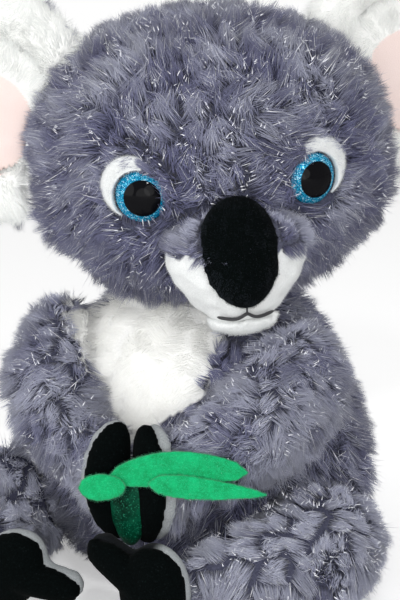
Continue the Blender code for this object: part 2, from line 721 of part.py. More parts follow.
def add_ear(label, side, neck, head):
    """An ear of three layers that flexes about its root on the side of the head."""
    rise = math.radians(EAR_RISE)
    hinge = pivot(label + "_ear_root", neck,
                  (side * EAR_ROOT * math.cos(rise), EAR_BEHIND - HEAD_FORWARD,
                   EAR_ROOT * math.sin(rise)), (0, -side * EAR_RISE, 0))
    blade = pivot(label + "_ear_blade", hinge, turn=(0, 0, side * EAR_SPLAY))
    centre = Vector((side * (EAR_REACH - EAR_ROOT), 0, 0))

    def rim(radius):
        return [(radius * math.cos(turn), radius * math.sin(turn)) for turn in around(EAR_SIDES)]

    back = domed_form(rim(EAR_RADIUS), -EAR_BACK_DEPTH, EAR_BACK_RINGS)
    middle = (EAR_RADIUS + EAR_LINING_RADIUS + SEAM_GAP) / 2
    half = EAR_RADIUS - middle
    section = [(middle + half * math.cos(math.pi * step / EAR_FRONT_STEPS),
                SEAM_GAP + EAR_FRONT_DEPTH * math.sin(math.pi * step / EAR_FRONT_STEPS))
               for step in range(EAR_FRONT_STEPS + 1)]
    front = turned_ring(section, EAR_SIDES)
    facing = Matrix.Rotation(math.radians(90), 4, "X")
    bmesh.ops.transform(front, matrix=facing, verts=front.verts)
    lining = domed_form(rim(EAR_LINING_RADIUS), EAR_LINING_DEPTH, EAR_LINING_RINGS)
    bmesh.ops.translate(lining, vec=(0, -SEAM_GAP, 0), verts=lining.verts)
    layers = (("back", back, (0.19, 0.19, 0.25)), ("front", front, (0.92, 0.92, 0.94)),
              ("lining", lining, (0.95, 0.72, 0.70)))
    for layer, shape, colour in layers:
        bmesh.ops.translate(shape, vec=centre, verts=shape.verts)
        name = label + "_ear_" + layer
        piece = add_piece(name, shape, finish(name, colour, 0.9), hinge)
        piece.rotation_euler = blade.rotation_euler
        bpy.context.view_layer.update()
        for limit in (EAR_FLEX, -EAR_FLEX):
            carve_path(piece, lambda: head_form(SEAM_GAP), head.matrix_world,
                       hinge, (0, 0, 1), limit, 2)
    bpy.data.objects.remove(blade, do_unlink=True)


def add_arm(label, side):
    """An arm with its hand, edge band and palm; it swings about the line of the shoulders."""
    shoulder = pivot(label + "_shoulder",
                     location=(side * SHOULDER_OUT, SHOULDER_BACK, SHOULDER_HEIGHT))
    hand_centre = (side * HAND_OUT + HAND_SHIFT, -HAND_FORWARD, HAND_HEIGHT)
    start = (side * ARM_START_OUT, SHOULDER_BACK, SHOULDER_HEIGHT)
    bend = (side * ARM_ELBOW_OUT, -ARM_ELBOW_FORWARD, ARM_ELBOW_HEIGHT)
    tube = limb_form(start, bend, hand_centre,
                     (ARM_SHOULDER_RADIUS, ARM_ELBOW_RADIUS, ARM_WRIST_RADIUS),
                     ARM_SIDES, ARM_RINGS)
    bmesh.ops.translate(tube, vec=-shoulder.location, verts=tube.verts)
    arm = add_piece(label + "_arm", tube, finish(label + "_arm", (0.17, 0.17, 0.23), 0.9),
                    shoulder)
    hand = (HAND_HALF_WIDTH, HAND_HALF_DEPTH, HAND_HALF_HEIGHT, side)
    place = Matrix.Translation(hand_centre)
    place = place @ Matrix.Rotation(-side * math.radians(HAND_TOE_IN), 4, "Z")
    combine(arm, hidden_tool(label + "_hand_back", hand_layer(*hand), place), "UNION")
    carve_path(arm, lambda: body_form(SEAM_GAP), Matrix(), shoulder, (-1, 0, 0),
               ARM_LIFT, ARM_LIFT_STEPS)

    edge_place = place @ Matrix.Translation((0, -HAND_EDGE_FORWARD, 0))
    palm_place = place @ Matrix.Translation((0, -PALM_FORWARD, 0))
    edge = (HAND_EDGE_HALF_WIDTH, HAND_EDGE_HALF_DEPTH, HAND_EDGE_HALF_HEIGHT, side)
    palm = (PALM_HALF_WIDTH, PALM_HALF_DEPTH, PALM_HALF_HEIGHT, side)
    into_arm = shoulder.matrix_world.inverted()
    band = hand_layer(*edge)
    bmesh.ops.transform(band, matrix=into_arm @ edge_place, verts=band.verts)
    band = add_piece(label + "_hand_edge", band,
                     finish(label + "_hand_edge", (0.55, 0.58, 0.60), 0.9), shoulder)
    carve(band, hand_layer(*hand, SEAM_GAP), place)
    grown = [radius + SEAM_GAP for radius in (ARM_SHOULDER_RADIUS, ARM_ELBOW_RADIUS,
                                              ARM_WRIST_RADIUS)]
    carve(band, limb_form(start, bend, hand_centre, grown, ARM_SIDES, ARM_RINGS), Matrix())
    pad = hand_layer(*palm)
    bmesh.ops.transform(pad, matrix=into_arm @ palm_place, verts=pad.verts)
    pad = add_piece(label + "_palm", pad, finish(label + "_palm", (0.012, 0.012, 0.016), 0.8),
                    shoulder)
    carve(pad, hand_layer(*edge, SEAM_GAP), edge_place)
    carve(pad, hand_layer(*hand, SEAM_GAP), place)
    carve(pad, limb_form(start, bend, hand_centre, grown, ARM_SIDES, ARM_RINGS), Matrix())
    palm_cutter = (hand_layer(*palm, SEAM_GAP), palm_place)
    edge_cutter = (hand_layer(*edge, SEAM_GAP), edge_place)
    return shoulder, palm_cutter, edge_cutter


def leaf_outline(length, half_width, start, rise=0.0):
    """A leaf along X: blunt where it starts, widest past its middle and pointed at its tip."""
    upper, lower = [], []
    for step in range(LEAF_POINTS + 1):
        along = step / LEAF_POINTS
        spread = half_width * math.sqrt(max(0, 1 - (2 * along - 1) ** 2))
        spread *= 1 - along ** LEAF_TIP_POWER * (1 - along)
        middle = rise * math.sin(math.pi * along)
        upper.append((start + length * along, middle + spread))
        lower.append((start + length * along, middle - spread))
    return upper + lower[-2:0:-1]


def add_leaves(shoulder, palms, edges):
    """The leaf bunch, stitched to the palms; it rides with the left arm."""
    into_arm = shoulder.matrix_world.inverted()
    surface = (0.0, 0.45, 0.13)
    plane = Matrix.Translation((LEAF_OUT, -LEAF_FORWARD, LEAF_HEIGHT))
    plane = plane @ Matrix.Rotation(math.radians(LEAF_TURN), 4, "Z")
    plane = plane @ Matrix.Rotation(-math.radians(LEAF_LIFT), 4, "Y")
    pitch = LEAF_THICKNESS + SEAM_GAP
    tilt = Matrix.Rotation(math.radians(PRONG_TILT), 4, "Y")
    plates = (
        ("leaf_large", leaf_outline(LEAF_LENGTH, LEAF_HALF_WIDTH,
                                    -LEAF_LENGTH * LEAF_LEFT_SHARE, LEAF_RISE), plane),
        ("leaf_small", leaf_outline(PRONG_LENGTH, PRONG_HALF_WIDTH, PRONG_START),
         plane @ Matrix.Translation((0, -pitch, -PRONG_DROP)) @ tilt),
        ("leaf_stalk", leaf_outline(STALK_LENGTH, STALK_HALF_WIDTH, STALK_START),
         plane @ Matrix.Translation((0, -pitch, -STALK_DROP))),
    )
    for name, outline, place in plates:
        plate = flat_form(outline, LEAF_THICKNESS)
        bmesh.ops.transform(plate, matrix=into_arm @ place, verts=plate.verts)
        add_piece(name, plate, finish(name, surface, 0.95), shoulder)
    def taper(point):
        point.x *= 1 + DARK_LEAF_TAPER_SHARE * point.z / DARK_LEAF_HALF_HEIGHT
        return point

    dark = rounded_form((DARK_LEAF_HALF_WIDTH, DARK_LEAF_HALF_DEPTH, DARK_LEAF_HALF_HEIGHT),
                        HAND_FULLNESS, DARK_LEAF_SIDES, DARK_LEAF_RINGS, taper)
    place = Matrix.Translation((DARK_LEAF_OUT, -DARK_LEAF_FORWARD, DARK_LEAF_HEIGHT))
    bmesh.ops.transform(dark, matrix=into_arm @ place, verts=dark.verts)
    dark = add_piece("leaf_dark", dark, finish("leaf_dark", (0.0, 0.10, 0.05), 0.5), shoulder)
    for shape, cutter_place in palms + edges:
        carve(dark, shape, cutter_place)


def foot_outline(side, growth=0.0):
    """An oval for the big lobe with a round-ended thumb that points inwards from its middle."""
    points = []
    lean = math.radians(FOOT_THUMB_ANGLE) * side
    radius = FOOT_THUMB_RADIUS + growth
    axis = Vector((-math.sin(lean), math.cos(lean)))
    for turn in around(FOOT_SIDES):
        ray = Vector((math.cos(turn), math.sin(turn)))
        big = 1 / math.hypot(ray.x / (FOOT_HALF_WIDTH + growth),
                             ray.y / (FOOT_HALF_HEIGHT + growth))
        along, across = ray.dot(axis), abs(ray.x * axis.y - ray.y * axis.x)
        reach = big
        if along > 0 and along * radius > across * FOOT_THUMB_REACH:
            tip = math.sqrt(radius ** 2 - (FOOT_THUMB_REACH * across) ** 2)
            reach = max(big, FOOT_THUMB_REACH * along + tip)
        elif along > 0:
            reach = max(big, radius / across)
        points.append((ray.x * reach, ray.y * reach))
    return points


def add_leg(label, side):
    """A leg with its foot's edge band and sole; it swings outwards about an upright hip axis."""
    hip = pivot(label + "_hip", location=(side * HIP_OUT, -HIP_FORWARD, 0))
    start = (side * LEG_START_OUT, -LEG_START_FORWARD, LEG_START_RADIUS - LEG_GROUND_DIP)
    bend = (side * LEG_KNEE_OUT - LEG_KNEE_SPREAD, -LEG_KNEE_FORWARD,
            LEG_KNEE_RADIUS - LEG_GROUND_DIP)
    end = (side * FOOT_OUT + FOOT_SHIFT, -LEG_END_FORWARD, LEG_ANKLE_RADIUS - LEG_GROUND_DIP)
    tube = limb_form(start, bend, end, (LEG_START_RADIUS, LEG_KNEE_RADIUS, LEG_ANKLE_RADIUS),
                     LEG_SIDES, LEG_RINGS)
    bmesh.ops.translate(tube, vec=-hip.location, verts=tube.verts)
    leg = add_piece(label + "_leg", tube, finish(label + "_leg", (0.17, 0.17, 0.23), 0.9), hip)
    carve_path(leg, lambda: body_form(SEAM_GAP), Matrix(), hip, (0, 0, side),
               LEG_SWING, LEG_SWING_STEPS)
    ground = bmesh.new()
    bmesh.ops.create_cube(ground, size=2 * BODY_HEIGHT)
    carve(leg, ground, Matrix.Translation((0, 0, -BODY_HEIGHT)))

    roll = FOOT_LEFT_ROLL if side > 0 else FOOT_RIGHT_ROLL
    place = Matrix.Translation((side * FOOT_OUT + FOOT_SHIFT, -FOOT_FORWARD, FOOT_HEIGHT))
    place = place @ Matrix.Rotation(math.radians(FOOT_LEAN), 4, "X")
    place = place @ Matrix.Rotation(-math.radians(roll) * side, 4, "Y")
    into_leg = hip.matrix_world.inverted()
    front = bmesh.new()
    bmesh.ops.create_cube(front, size=2 * BODY_HEIGHT)
    carve(leg, front, place @ Matrix.Translation((0, SEAM_GAP - BODY_HEIGHT, 0)))

    band_outline = foot_outline(side)
    band = closed_form([[(x * grow, -FOOT_EDGE_THICKNESS * along, z * grow)
                         for x, z in band_outline]
                        for along, grow in ((0, FOOT_EDGE_BACK_SHARE),
                                            (FOOT_EDGE_MIDDLE_SHARE, 1),
                                            (1, FOOT_EDGE_FRONT_SHARE))])
    bmesh.ops.transform(band, matrix=into_leg @ place, verts=band.verts)
    add_piece(label + "_foot_edge", band,
              finish(label + "_foot_edge", (0.55, 0.58, 0.60), 0.9), hip)
    sole_outline = foot_outline(side, -FOOT_EDGE_OVERLAP)
    sole = domed_form(sole_outline, SOLE_THICKNESS, FOOT_RINGS)
    sole_place = place @ Matrix.Translation((0, -FOOT_EDGE_THICKNESS - SEAM_GAP, 0))
    bmesh.ops.transform(sole, matrix=into_leg @ sole_place, verts=sole.verts)
    add_piece(label + "_sole", sole, finish(label + "_sole", (0.012, 0.012, 0.016), 0.8), hip)


def build_koala():
    clear_scene()
    body = add_body()
    add_base()
    neck = pivot("neck", location=(0, 0, HEAD_HEIGHT), turn=(0, HEAD_ROLL, HEAD_TURN))
    head = add_head(neck)
    muzzle, lip = add_muzzle(neck, head)
    add_nose(neck, head, muzzle, lip)
    add_piece("chest_bib", bib_form(), finish("chest_bib", (0.92, 0.92, 0.94), 0.9))
    carve(body, bib_form(2 * SEAM_GAP), Matrix())
    palms, edges = [], []
    for label, side in SIDES.items():
        add_eye(label, side, neck, head)
        add_ear(label, side, neck, head)
        shoulder, palm, edge = add_arm(label, side)
        palms.append(palm)
        edges.append(edge)
        if side > 0:
            left_shoulder = shoulder
        add_leg(label, side)
    add_leaves(left_shoulder, palms, edges)


build_koala()
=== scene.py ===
import math
import bpy
import numpy as np
from mathutils import Euler, Matrix, Vector
from mathutils.bvhtree import BVHTree
from mathutils.kdtree import KDTree


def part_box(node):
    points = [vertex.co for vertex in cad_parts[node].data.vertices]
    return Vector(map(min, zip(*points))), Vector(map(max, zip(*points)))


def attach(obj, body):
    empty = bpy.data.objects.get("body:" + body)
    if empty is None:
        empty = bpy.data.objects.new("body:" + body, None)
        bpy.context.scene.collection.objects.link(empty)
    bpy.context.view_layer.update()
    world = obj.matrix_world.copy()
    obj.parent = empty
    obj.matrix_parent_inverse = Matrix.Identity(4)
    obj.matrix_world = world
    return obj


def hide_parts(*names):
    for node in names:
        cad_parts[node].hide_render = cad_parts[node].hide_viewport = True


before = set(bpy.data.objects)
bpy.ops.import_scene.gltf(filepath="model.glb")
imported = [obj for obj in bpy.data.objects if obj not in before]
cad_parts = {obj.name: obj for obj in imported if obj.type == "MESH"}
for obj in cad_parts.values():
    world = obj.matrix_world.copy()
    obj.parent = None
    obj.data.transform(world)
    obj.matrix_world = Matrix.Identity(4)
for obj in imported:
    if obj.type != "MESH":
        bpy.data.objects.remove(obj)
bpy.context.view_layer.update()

bpy.ops.object.select_all(action="DESELECT")


# ---- Camera, floor and lamps ------------------------------------------------------------------
# The camera stands a metre off, a little to the koala's left and a little above its chin.
# The floor and the sheet of light behind it are plain white, and the lamps are large and soft.
look_at = Vector((0, 0, .155))
camera_turn, camera_rise = math.radians(22), math.radians(12)
towards_camera = Vector((math.sin(camera_turn) * math.cos(camera_rise),
                         -math.cos(camera_turn) * math.cos(camera_rise), math.sin(camera_rise)))
bpy.ops.object.camera_add(location=look_at + towards_camera,
                          rotation=towards_camera.to_track_quat("Z", "Y").to_euler())
camera = bpy.context.object
camera.data.sensor_fit = "VERTICAL"
camera.data.sensor_height = 24
camera.data.lens = 68.04
camera.data.shift_x = -4 / 600
bpy.context.scene.camera = camera
bpy.context.scene.view_settings.view_transform = "Standard"


class Finish:
    """A material and its nodes, with short calls for the nodes that the finishes here share."""

    def __init__(self, name, **sockets):
        self.material = bpy.data.materials.new(name)
        self.material.use_nodes = True
        self.tree = self.material.node_tree
        self.shader = self.tree.nodes["Principled BSDF"]
        for socket, value in sockets.items():
            self.shader.inputs[socket.replace("_", " ")].default_value = value

    def node(self, kind, links=None, **settings):
        made = self.tree.nodes.new(kind)
        for key, value in settings.items():
            setattr(made, key, value)
        for socket, value in (links or {}).items():
            if isinstance(value, bpy.types.NodeSocket):
                self.tree.links.new(value, made.inputs[socket])
            else:
                made.inputs[socket].default_value = value
        return made

    def place(self):
        return self.node("ShaderNodeTexCoord").outputs["Object"]

    def noise(self, scale, detail=3, rough=.55, at=None):
        return self.node("ShaderNodeTexNoise", {"Vector": at or self.place(), "Scale": scale,
                                                "Detail": detail, "Roughness": rough}).outputs["Fac"]

    def ramp(self, value, *stops):
        made = self.node("ShaderNodeValToRGB", {"Fac": value})
        elements = made.color_ramp.elements
        while len(elements) < len(stops):
            elements.new(.5)
        for element, (position, colour) in zip(elements, stops):
            element.position = position
            element.color = (*colour, 1) if len(colour) == 3 else colour
        return made.outputs["Color"]

    def grey_ramp(self, value, *stops):
        return self.ramp(value, *[(position, (level,) * 3) for position, level in stops])

    def mix(self, share, first, second, blend="MIX"):
        made = self.node("ShaderNodeMix", data_type="RGBA", blend_type=blend)
        for socket, value in ((made.inputs[0], share), (made.inputs[6], first), (made.inputs[7], second)):
            if isinstance(value, bpy.types.NodeSocket):
                self.tree.links.new(value, socket)
            elif isinstance(value, tuple):
                socket.default_value = (*value, 1)
            else:
                socket.default_value = value
        return made.outputs[2]

    def sum(self, operation, first, second):
        made = self.node("ShaderNodeMath", operation=operation)
        for socket, value in zip(made.inputs, (first, second)):
            if isinstance(value, bpy.types.NodeSocket):
                self.tree.links.new(value, socket)
            else:
                socket.default_value = value
        return made.outputs[0]

    def set(self, socket, value):
        self.tree.links.new(value, self.shader.inputs[socket])
        return self

    def bump(self, height, strength=.3, depth=.0005):
        made = self.node("ShaderNodeBump", {"Height": height, "Strength": strength, "Distance": depth})
        return self.set("Normal", made.outputs["Normal"])


bpy.ops.mesh.primitive_plane_add(size=8, location=(0, 0, 0))
floor = bpy.context.object
floor.name = "floor"
floor_finish = Finish("floor_white", Roughness=.9, Specular_IOR_Level=.1)
floor_finish.shader.inputs["Base Color"].default_value = (.9, .9, .9, 1)
seen = floor_finish.node("ShaderNodeLightPath").outputs["Is Camera Ray"]
floor_finish.shader.inputs["Emission Color"].default_value = (1, 1, 1, 1)
floor_finish.set("Emission Strength", floor_finish.sum("MULTIPLY", seen, .40))
floor.data.materials.append(floor_finish.material)

world = bpy.data.worlds.new("studio")
bpy.context.scene.world = world
world.use_nodes = True
sky = world.node_tree
seen = sky.nodes.new("ShaderNodeLightPath")
lit = sky.nodes.new("ShaderNodeMath")
lit.operation = "MAXIMUM"
sky.links.new(seen.outputs["Is Camera Ray"], lit.inputs[0])
sky.links.new(seen.outputs["Is Transmission Ray"], lit.inputs[1])
level = sky.nodes.new("ShaderNodeMapRange")
level.inputs["To Min"].default_value = .5
level.inputs["To Max"].default_value = 1
sky.links.new(lit.outputs[0], level.inputs["Value"])
backdrop = sky.nodes["Background"]
backdrop.inputs["Color"].default_value = (1, 1, 1, 1)
sky.links.new(level.outputs["Result"], backdrop.inputs["Strength"])

for lamp_name, place, size, power in (("key", (.586, -1.152, 1.129), .15, 4.8),
                                      ("side", (.85, -1.30, .50), 1.0, 5.2),
                                      ("fill", (-1.0, -1.15, .40), 1.2, 7.3),
                                      ("front", (.30, -1.45, .06), 1.3, 7.3),
                                      ("top", (.3, .2, 1.5), .8, 2.0)):
    bpy.ops.object.light_add(type="AREA", location=place,
                             rotation=(Vector(place) - Vector((0, 0, .17))).to_track_quat("Z", "Y").to_euler())
    lamp = bpy.context.object
    lamp.name = lamp_name
    lamp.data.shape = "DISK"
    lamp.data.size = size
    lamp.data.energy = power


# ---- Body skin ----------------------------------------------------------------------------------
# The body is a pear-shaped bag sewn from long grey plush and stuffed with fibre. Its knitted
# backing is coloured dark slate as painted shade, so that gaps in the pile read as deep shadow,
# and the pile on it is medium long, blue grey with frosted tips.
def pick(piece):
    bpy.ops.object.select_all(action="DESELECT")
    piece.select_set(True)
    bpy.context.view_layer.objects.active = piece


def apply_all(piece):
    pick(piece)
    for modifier in list(piece.modifiers):
        bpy.ops.object.modifier_apply(modifier=modifier.name)


def cut_like(node, name):
    """A copy of a CAD solid's mesh, merged into one closed surface."""
    piece = bpy.data.objects.new(name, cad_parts[node].data.copy())
    bpy.context.scene.collection.objects.link(piece)
    piece.data.materials.clear()
    pick(piece)
    bpy.ops.object.mode_set(mode="EDIT")
    bpy.ops.mesh.select_all(action="SELECT")
    bpy.ops.mesh.remove_doubles(threshold=.00001)
    bpy.ops.object.mode_set(mode="OBJECT")
    return piece


def stuffed(node, name, voxel, inset, ease=6):
    """The stuffed form of a CAD solid: an even mesh, eased, and drawn in by the depth of its pile."""
    piece = cut_like(node, name)
    even = piece.modifiers.new("Even", "REMESH")
    even.mode = "VOXEL"
    even.voxel_size = voxel
    eased = piece.modifiers.new("Eased", "SMOOTH")
    eased.factor = .5
    eased.iterations = ease
    if inset:
        drawn = piece.modifiers.new("Drawn in", "DISPLACE")
        drawn.mid_level = 0
        drawn.strength = -inset
    apply_all(piece)
    for polygon in piece.data.polygons:
        polygon.use_smooth = True
    return piece


def wear(piece, body, finish, slot, *nodes, fill=None):
    """Dresses a finished piece: its material, body and the CAD nodes it stands for; the slot and the stuffing are not
    used.
    """
    if finish:
        piece.data.materials.clear()
        piece.data.materials.append(finish.material)
    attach(piece, body)
    if nodes:
        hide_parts(*nodes)
    return piece


def wander(points, wavelength, seed):
    """A smooth number from about -1 to 1 that wanders over the plush, for its swirls and tones."""
    rng = np.random.default_rng(seed)
    total = np.zeros(len(points))
    for _ in range(6):
        way = rng.normal(size=3)
        way /= np.linalg.norm(way)
        total += np.sin(points @ way * (2 * math.pi / wavelength) * rng.uniform(.7, 1.4) + rng.uniform(0, 6.3))
    return total / 2.4


fur_width = .00066      # of a strand of grey plush, which stands for a few real hairs
white_width = .00034    # of a strand of the finer white plush
above_floor = .0009     # the lowest that pile lies
under_pile = .004       # how far the big skins are drawn in to leave room for their pile


def unit(vectors):
    return vectors / np.maximum(np.linalg.norm(vectors, axis=-1, keepdims=True), 1e-9)


def scatter(piece, number, rng):
    """Evenly spread root points on a mesh, with the smooth normal at each."""
    mesh = piece.data
    mesh.calc_loop_triangles()
    spots = np.empty(len(mesh.vertices) * 3, np.float32)
    mesh.vertices.foreach_get("co", spots)
    spots = spots.reshape(-1, 3).astype(float)
    facing = np.empty(len(mesh.vertices) * 3, np.float32)
    mesh.vertices.foreach_get("normal", facing)
    facing = facing.reshape(-1, 3).astype(float)
    corners = np.empty(len(mesh.loop_triangles) * 3, np.int32)
    mesh.loop_triangles.foreach_get("vertices", corners)
    corners = corners.reshape(-1, 3)
    a, b, c = spots[corners[:, 0]], spots[corners[:, 1]], spots[corners[:, 2]]
    areas = np.linalg.norm(np.cross(b - a, c - a), axis=1) / 2
    reach = np.cumsum(areas)
    chosen = np.searchsorted(reach, (np.arange(number) + rng.random(number)) / number * reach[-1])
    chosen = np.minimum(chosen, len(corners) - 1)
    s, t = np.sqrt(rng.random(number)), rng.random(number)
    shares = np.stack([1 - s, s * (1 - t), s * t], 1)[:, :, None]
    roots = (spots[corners[chosen]] * shares).sum(1)
    normals = unit((facing[corners[chosen]] * shares).sum(1))
    return roots, normals, reach[-1]


def pile(name, piece, number, length, width, comb, seed, lift=(62, 32), swirl=1.0, clump=.0115, pull=.78,
         sag=.10, bare=None, tone=.36, spread=.30, tinsel=.02, frost=.06, splay=.7, rise=0,
         light=False, shade=None):
    """Pile growing from a skin: one closed, pointed strand per root, leaning along comb, with the
    strands of a tuft drawn together at their tips. The UV map gives the tone across, in 16
    columns of which the last two are bleached hairs and tinsel painted near white as glints, and the way from root to
    tip."""
    rng = np.random.default_rng(seed)
    roots, normals, area = scatter(piece, number, rng)
    centres, centre_normals, _ = scatter(piece, max(12, int(area / clump ** 2)), rng)
    if bare is not None:
        kept = ~bare(roots, normals)
        roots, normals = roots[kept], normals[kept]
    tree = KDTree(len(centres))
    for index, centre in enumerate(centres + centre_normals * .006):
        tree.insert(centre, index)
    tree.balance()
    nearest = np.array([tree.find(root)[1] for root in roots + normals * .006])

    def lay(points, facing, turn):
        way = comb(points, facing)
        way = unit(way - (way * facing).sum(1, keepdims=True) * facing)
        across = np.cross(facing, way)
        return way * np.cos(turn)[:, None] + across * np.sin(turn)[:, None]

    turn = swirl * wander(centres, .055, 11) + splay * rng.normal(size=len(centres))
    tuft_way = lay(centres, centre_normals, turn)
    size = rng.uniform(.8, 1.2, len(centres))
    steep, low = (np.radians(angle) for angle in lift)
    tilt = rng.normal(0, np.radians(9), len(centres))

    def tips(start, facing, way, long, tilt):
        """Where strands end that lean at the steep angle first and at the low one after."""
        first = way * np.cos(steep + tilt)[:, None] + facing * np.sin(steep + tilt)[:, None]
        second = way * np.cos(low + tilt)[:, None] + facing * np.sin(low + tilt)[:, None]
        middle = start + first * long[:, None] * .5
        return middle + second * long[:, None] * .5

    tuft_end = tips(centres, centre_normals, tuft_way, length * size, tilt)
    long = length * size[nearest] * rng.uniform(.72, 1.1, len(roots))
    way = tuft_way[nearest]
    way = unit(way - (way * normals).sum(1, keepdims=True) * normals)
    loose = rng.random(len(roots)) < .05
    own_tilt = tilt[nearest] + rng.normal(0, np.radians(7), len(roots)) + loose * rng.normal(.3, .35, len(roots))
    end = tips(roots, normals, way, long, own_tilt)
    offset = roots - centres[nearest]
    held = (pull * rng.uniform(.6, 1.25, len(roots)) * ~loose)[:, None]
    end += (tuft_end[nearest] + offset * .15 - end) * held
    end += rng.normal(0, .06 * length, end.shape)
    end[:, 2] -= sag * long
    roots = roots - normals * .0012
    roots, end = roots + normals * rise, end + normals * rise
    for points in (roots, end):
        points[:, 2] = np.maximum(points[:, 2], above_floor)
    axis = unit(end - roots)
    side = unit(np.cross(axis, normals))
    upper = np.cross(axis, side)
    chance = rng.random(len(roots))
    shiny, frosted = chance < tinsel, chance > 1 - frost
    thick = width / 2 * rng.uniform(.75, 1.2, len(roots)) * np.where(shiny, 1.25, 1)
    level = (tone + spread * (.7 * rng.normal(size=len(centres))[nearest] + 1.5 * wander(roots, .040, 23)
                              + .35 * rng.normal(size=len(roots))))
    if shade is not None:
        level += shade(roots)
    spaced = .5 + (level - .5) * np.where(level > .5, 1.3, .8)
    column = np.clip(spaced * 14, 0, 13.9).astype(int)
    column[frosted] = 14
    column[shiny] = 15
    angles = np.radians((90, 210, 330))
    ring = (np.cos(angles)[None, :, None] * side[:, None, :] + np.sin(angles)[None, :, None] * upper[:, None, :])
    strand = np.concatenate([roots[:, None] + ring * thick[:, None, None], end[:, None]], axis=1)
    count, points_each, faces_each = len(strand), 4, 4
    order = np.array((0, 1, 3, 1, 2, 3, 2, 0, 3, 2, 1, 0))
    starts = np.arange(0, len(order), 3)
    across = [.1 + .26 * share for share in (0, 1, .5, 1, 2, 1.5, 2, 3, 2.5, 2, 1, 0)]
    along = [.03, .03, .97] * 3 + [.012, .020, .012]
    mesh = bpy.data.meshes.new(name)
    mesh.vertices.add(count * points_each)
    mesh.vertices.foreach_set("co", strand.astype(np.float32).ravel())
    mesh.loops.add(count * len(order))
    mesh.loops.foreach_set("vertex_index",
                           (order[None] + np.arange(count)[:, None] * points_each).astype(np.int32).ravel())
    mesh.polygons.add(count * faces_each)
    mesh.polygons.foreach_set("loop_start",
                              (starts[None] + np.arange(count)[:, None] * len(order)).astype(np.int32).ravel())
    mesh.update(calc_edges=True)
    mesh.polygons.foreach_set("use_smooth", np.full(count * faces_each, not light))
    flat = np.empty((count, len(order), 2), np.float32)
    flat[:, :, 0] = (column[:, None] + np.array(across)[None]) / 16
    flat[:, :, 1] = np.array(along)[None]
    mesh.uv_layers.new(name="OFBake").data.foreach_set("uv", flat.ravel())
    made = bpy.data.objects.new(name, mesh)
    made.visible_shadow = not light
    bpy.context.scene.collection.objects.link(made)
    return made


def grey_fur(body, *growth, **looks):
    return wear(pile(*growth, **looks), body, grey_plush, "grey_plush")


def white_fur(body, *growth, **looks):
    return wear(pile(*growth, tinsel=0, light=True, **looks), body, white_plush, "white_plush")


def tinsel_threads(skin, body, number, comb, seed, bare):
    """Short flat threads of tinsel that lie on the pile in small groups, painted near white as glints."""
    def sparse(roots, normals):
        return bare(roots, normals) | (wander(roots, .017, seed) < .25)

    grey_fur(body, skin.name.replace("skin", "tinsel"), skin, number, .0026, .00050, comb, seed, lift=(30, 0),
             swirl=3, splay=3, clump=.004, pull=0, sag=0, tinsel=1.1, rise=.0074, bare=sparse, light=True)


def plush(name, plain_root, plain_tip, frost_root, frost_tip, bleach=(.88, .90, .97), **sockets):
    """A pile finish: dark at the root, partly as painted shade of the pile's depth, and paler at the tip, from the
    plain tone to the frosted one.
    """
    finish = Finish(name, **sockets)
    made = finish.node("ShaderNodeUVMap", uv_map="OFBake")
    split = finish.node("ShaderNodeSeparateXYZ", {"Vector": made.outputs["UV"]})
    along, tone = split.outputs["Y"], split.outputs["X"]

    def between(first, second, one, other):
        return tuple(a * one + b * other for a, b in zip(first, second))

    plain = finish.ramp(along, (.0, plain_root), (.35, between(plain_root, plain_tip, .55, .45)),
                        (.75, between(plain_root, plain_tip, .15, .85)), (1, plain_tip))
    frost = finish.ramp(along, (.0, frost_root), (.35, between(frost_root, frost_tip, .6, .4)),
                        (.75, between(frost_root, frost_tip, .25, .75)), (1, frost_tip))
    blended = finish.mix(tone, plain, frost)
    pale = finish.sum("GREATER_THAN", tone, .875)
    thread = finish.sum("GREATER_THAN", tone, .9375)
    bleached = finish.mix(pale, blended, finish.ramp(
        along, (0, frost_root), (.4, between(frost_root, bleach, .5, .5)), (1, bleach)))
    # Painted glints: tinsel is coloured near white from a third of its way up, so that it shows as a bright glint
    # under any light.
    tinsel = finish.ramp(along, (0, (.70, .72, .80)), (.30, (.95, .96, 1)), (1, (.98, .98, 1)))
    finish.set("Base Color", finish.mix(thread, bleached, tinsel))
    finish.set("Roughness", finish.grey_ramp(thread, (0, .6), (1, .25)))
    return finish


def spots_and_facing(piece):
    points = piece.data.vertices
    return np.array([point.co for point in points]), np.array([point.normal for point in points])


def mark(piece, where):
    """Writes on a piece's points how far they take the second tone of its cloth, 0 to 1."""
    spots, facing = spots_and_facing(piece)
    shares = piece.data.attributes.new("tone", "FLOAT", "POINT")
    shares.data.foreach_set("value", where(spots, facing).astype(np.float32))


def second_tone(finish, first, second):
    """One cloth colour where the piece isn't marked, another where it is."""
    share = finish.node("ShaderNodeAttribute", attribute_name="tone").outputs["Fac"]
    return finish.set("Base Color", finish.mix(share, first, second))


def shift(piece, amounts):
    """Moves a skin's points along their normals by these amounts."""
    spots, facing = spots_and_facing(piece)
    piece.data.vertices.foreach_set("co", (spots + facing * amounts(spots, facing)[:, None]).ravel())
    piece.data.update()
    return piece


def step(values, start, end):
    """0 at start, 1 at end, with an easy slope between."""
    share = np.clip((values - start) / (end - start), 0, 1)
    return share * share * (3 - 2 * share)


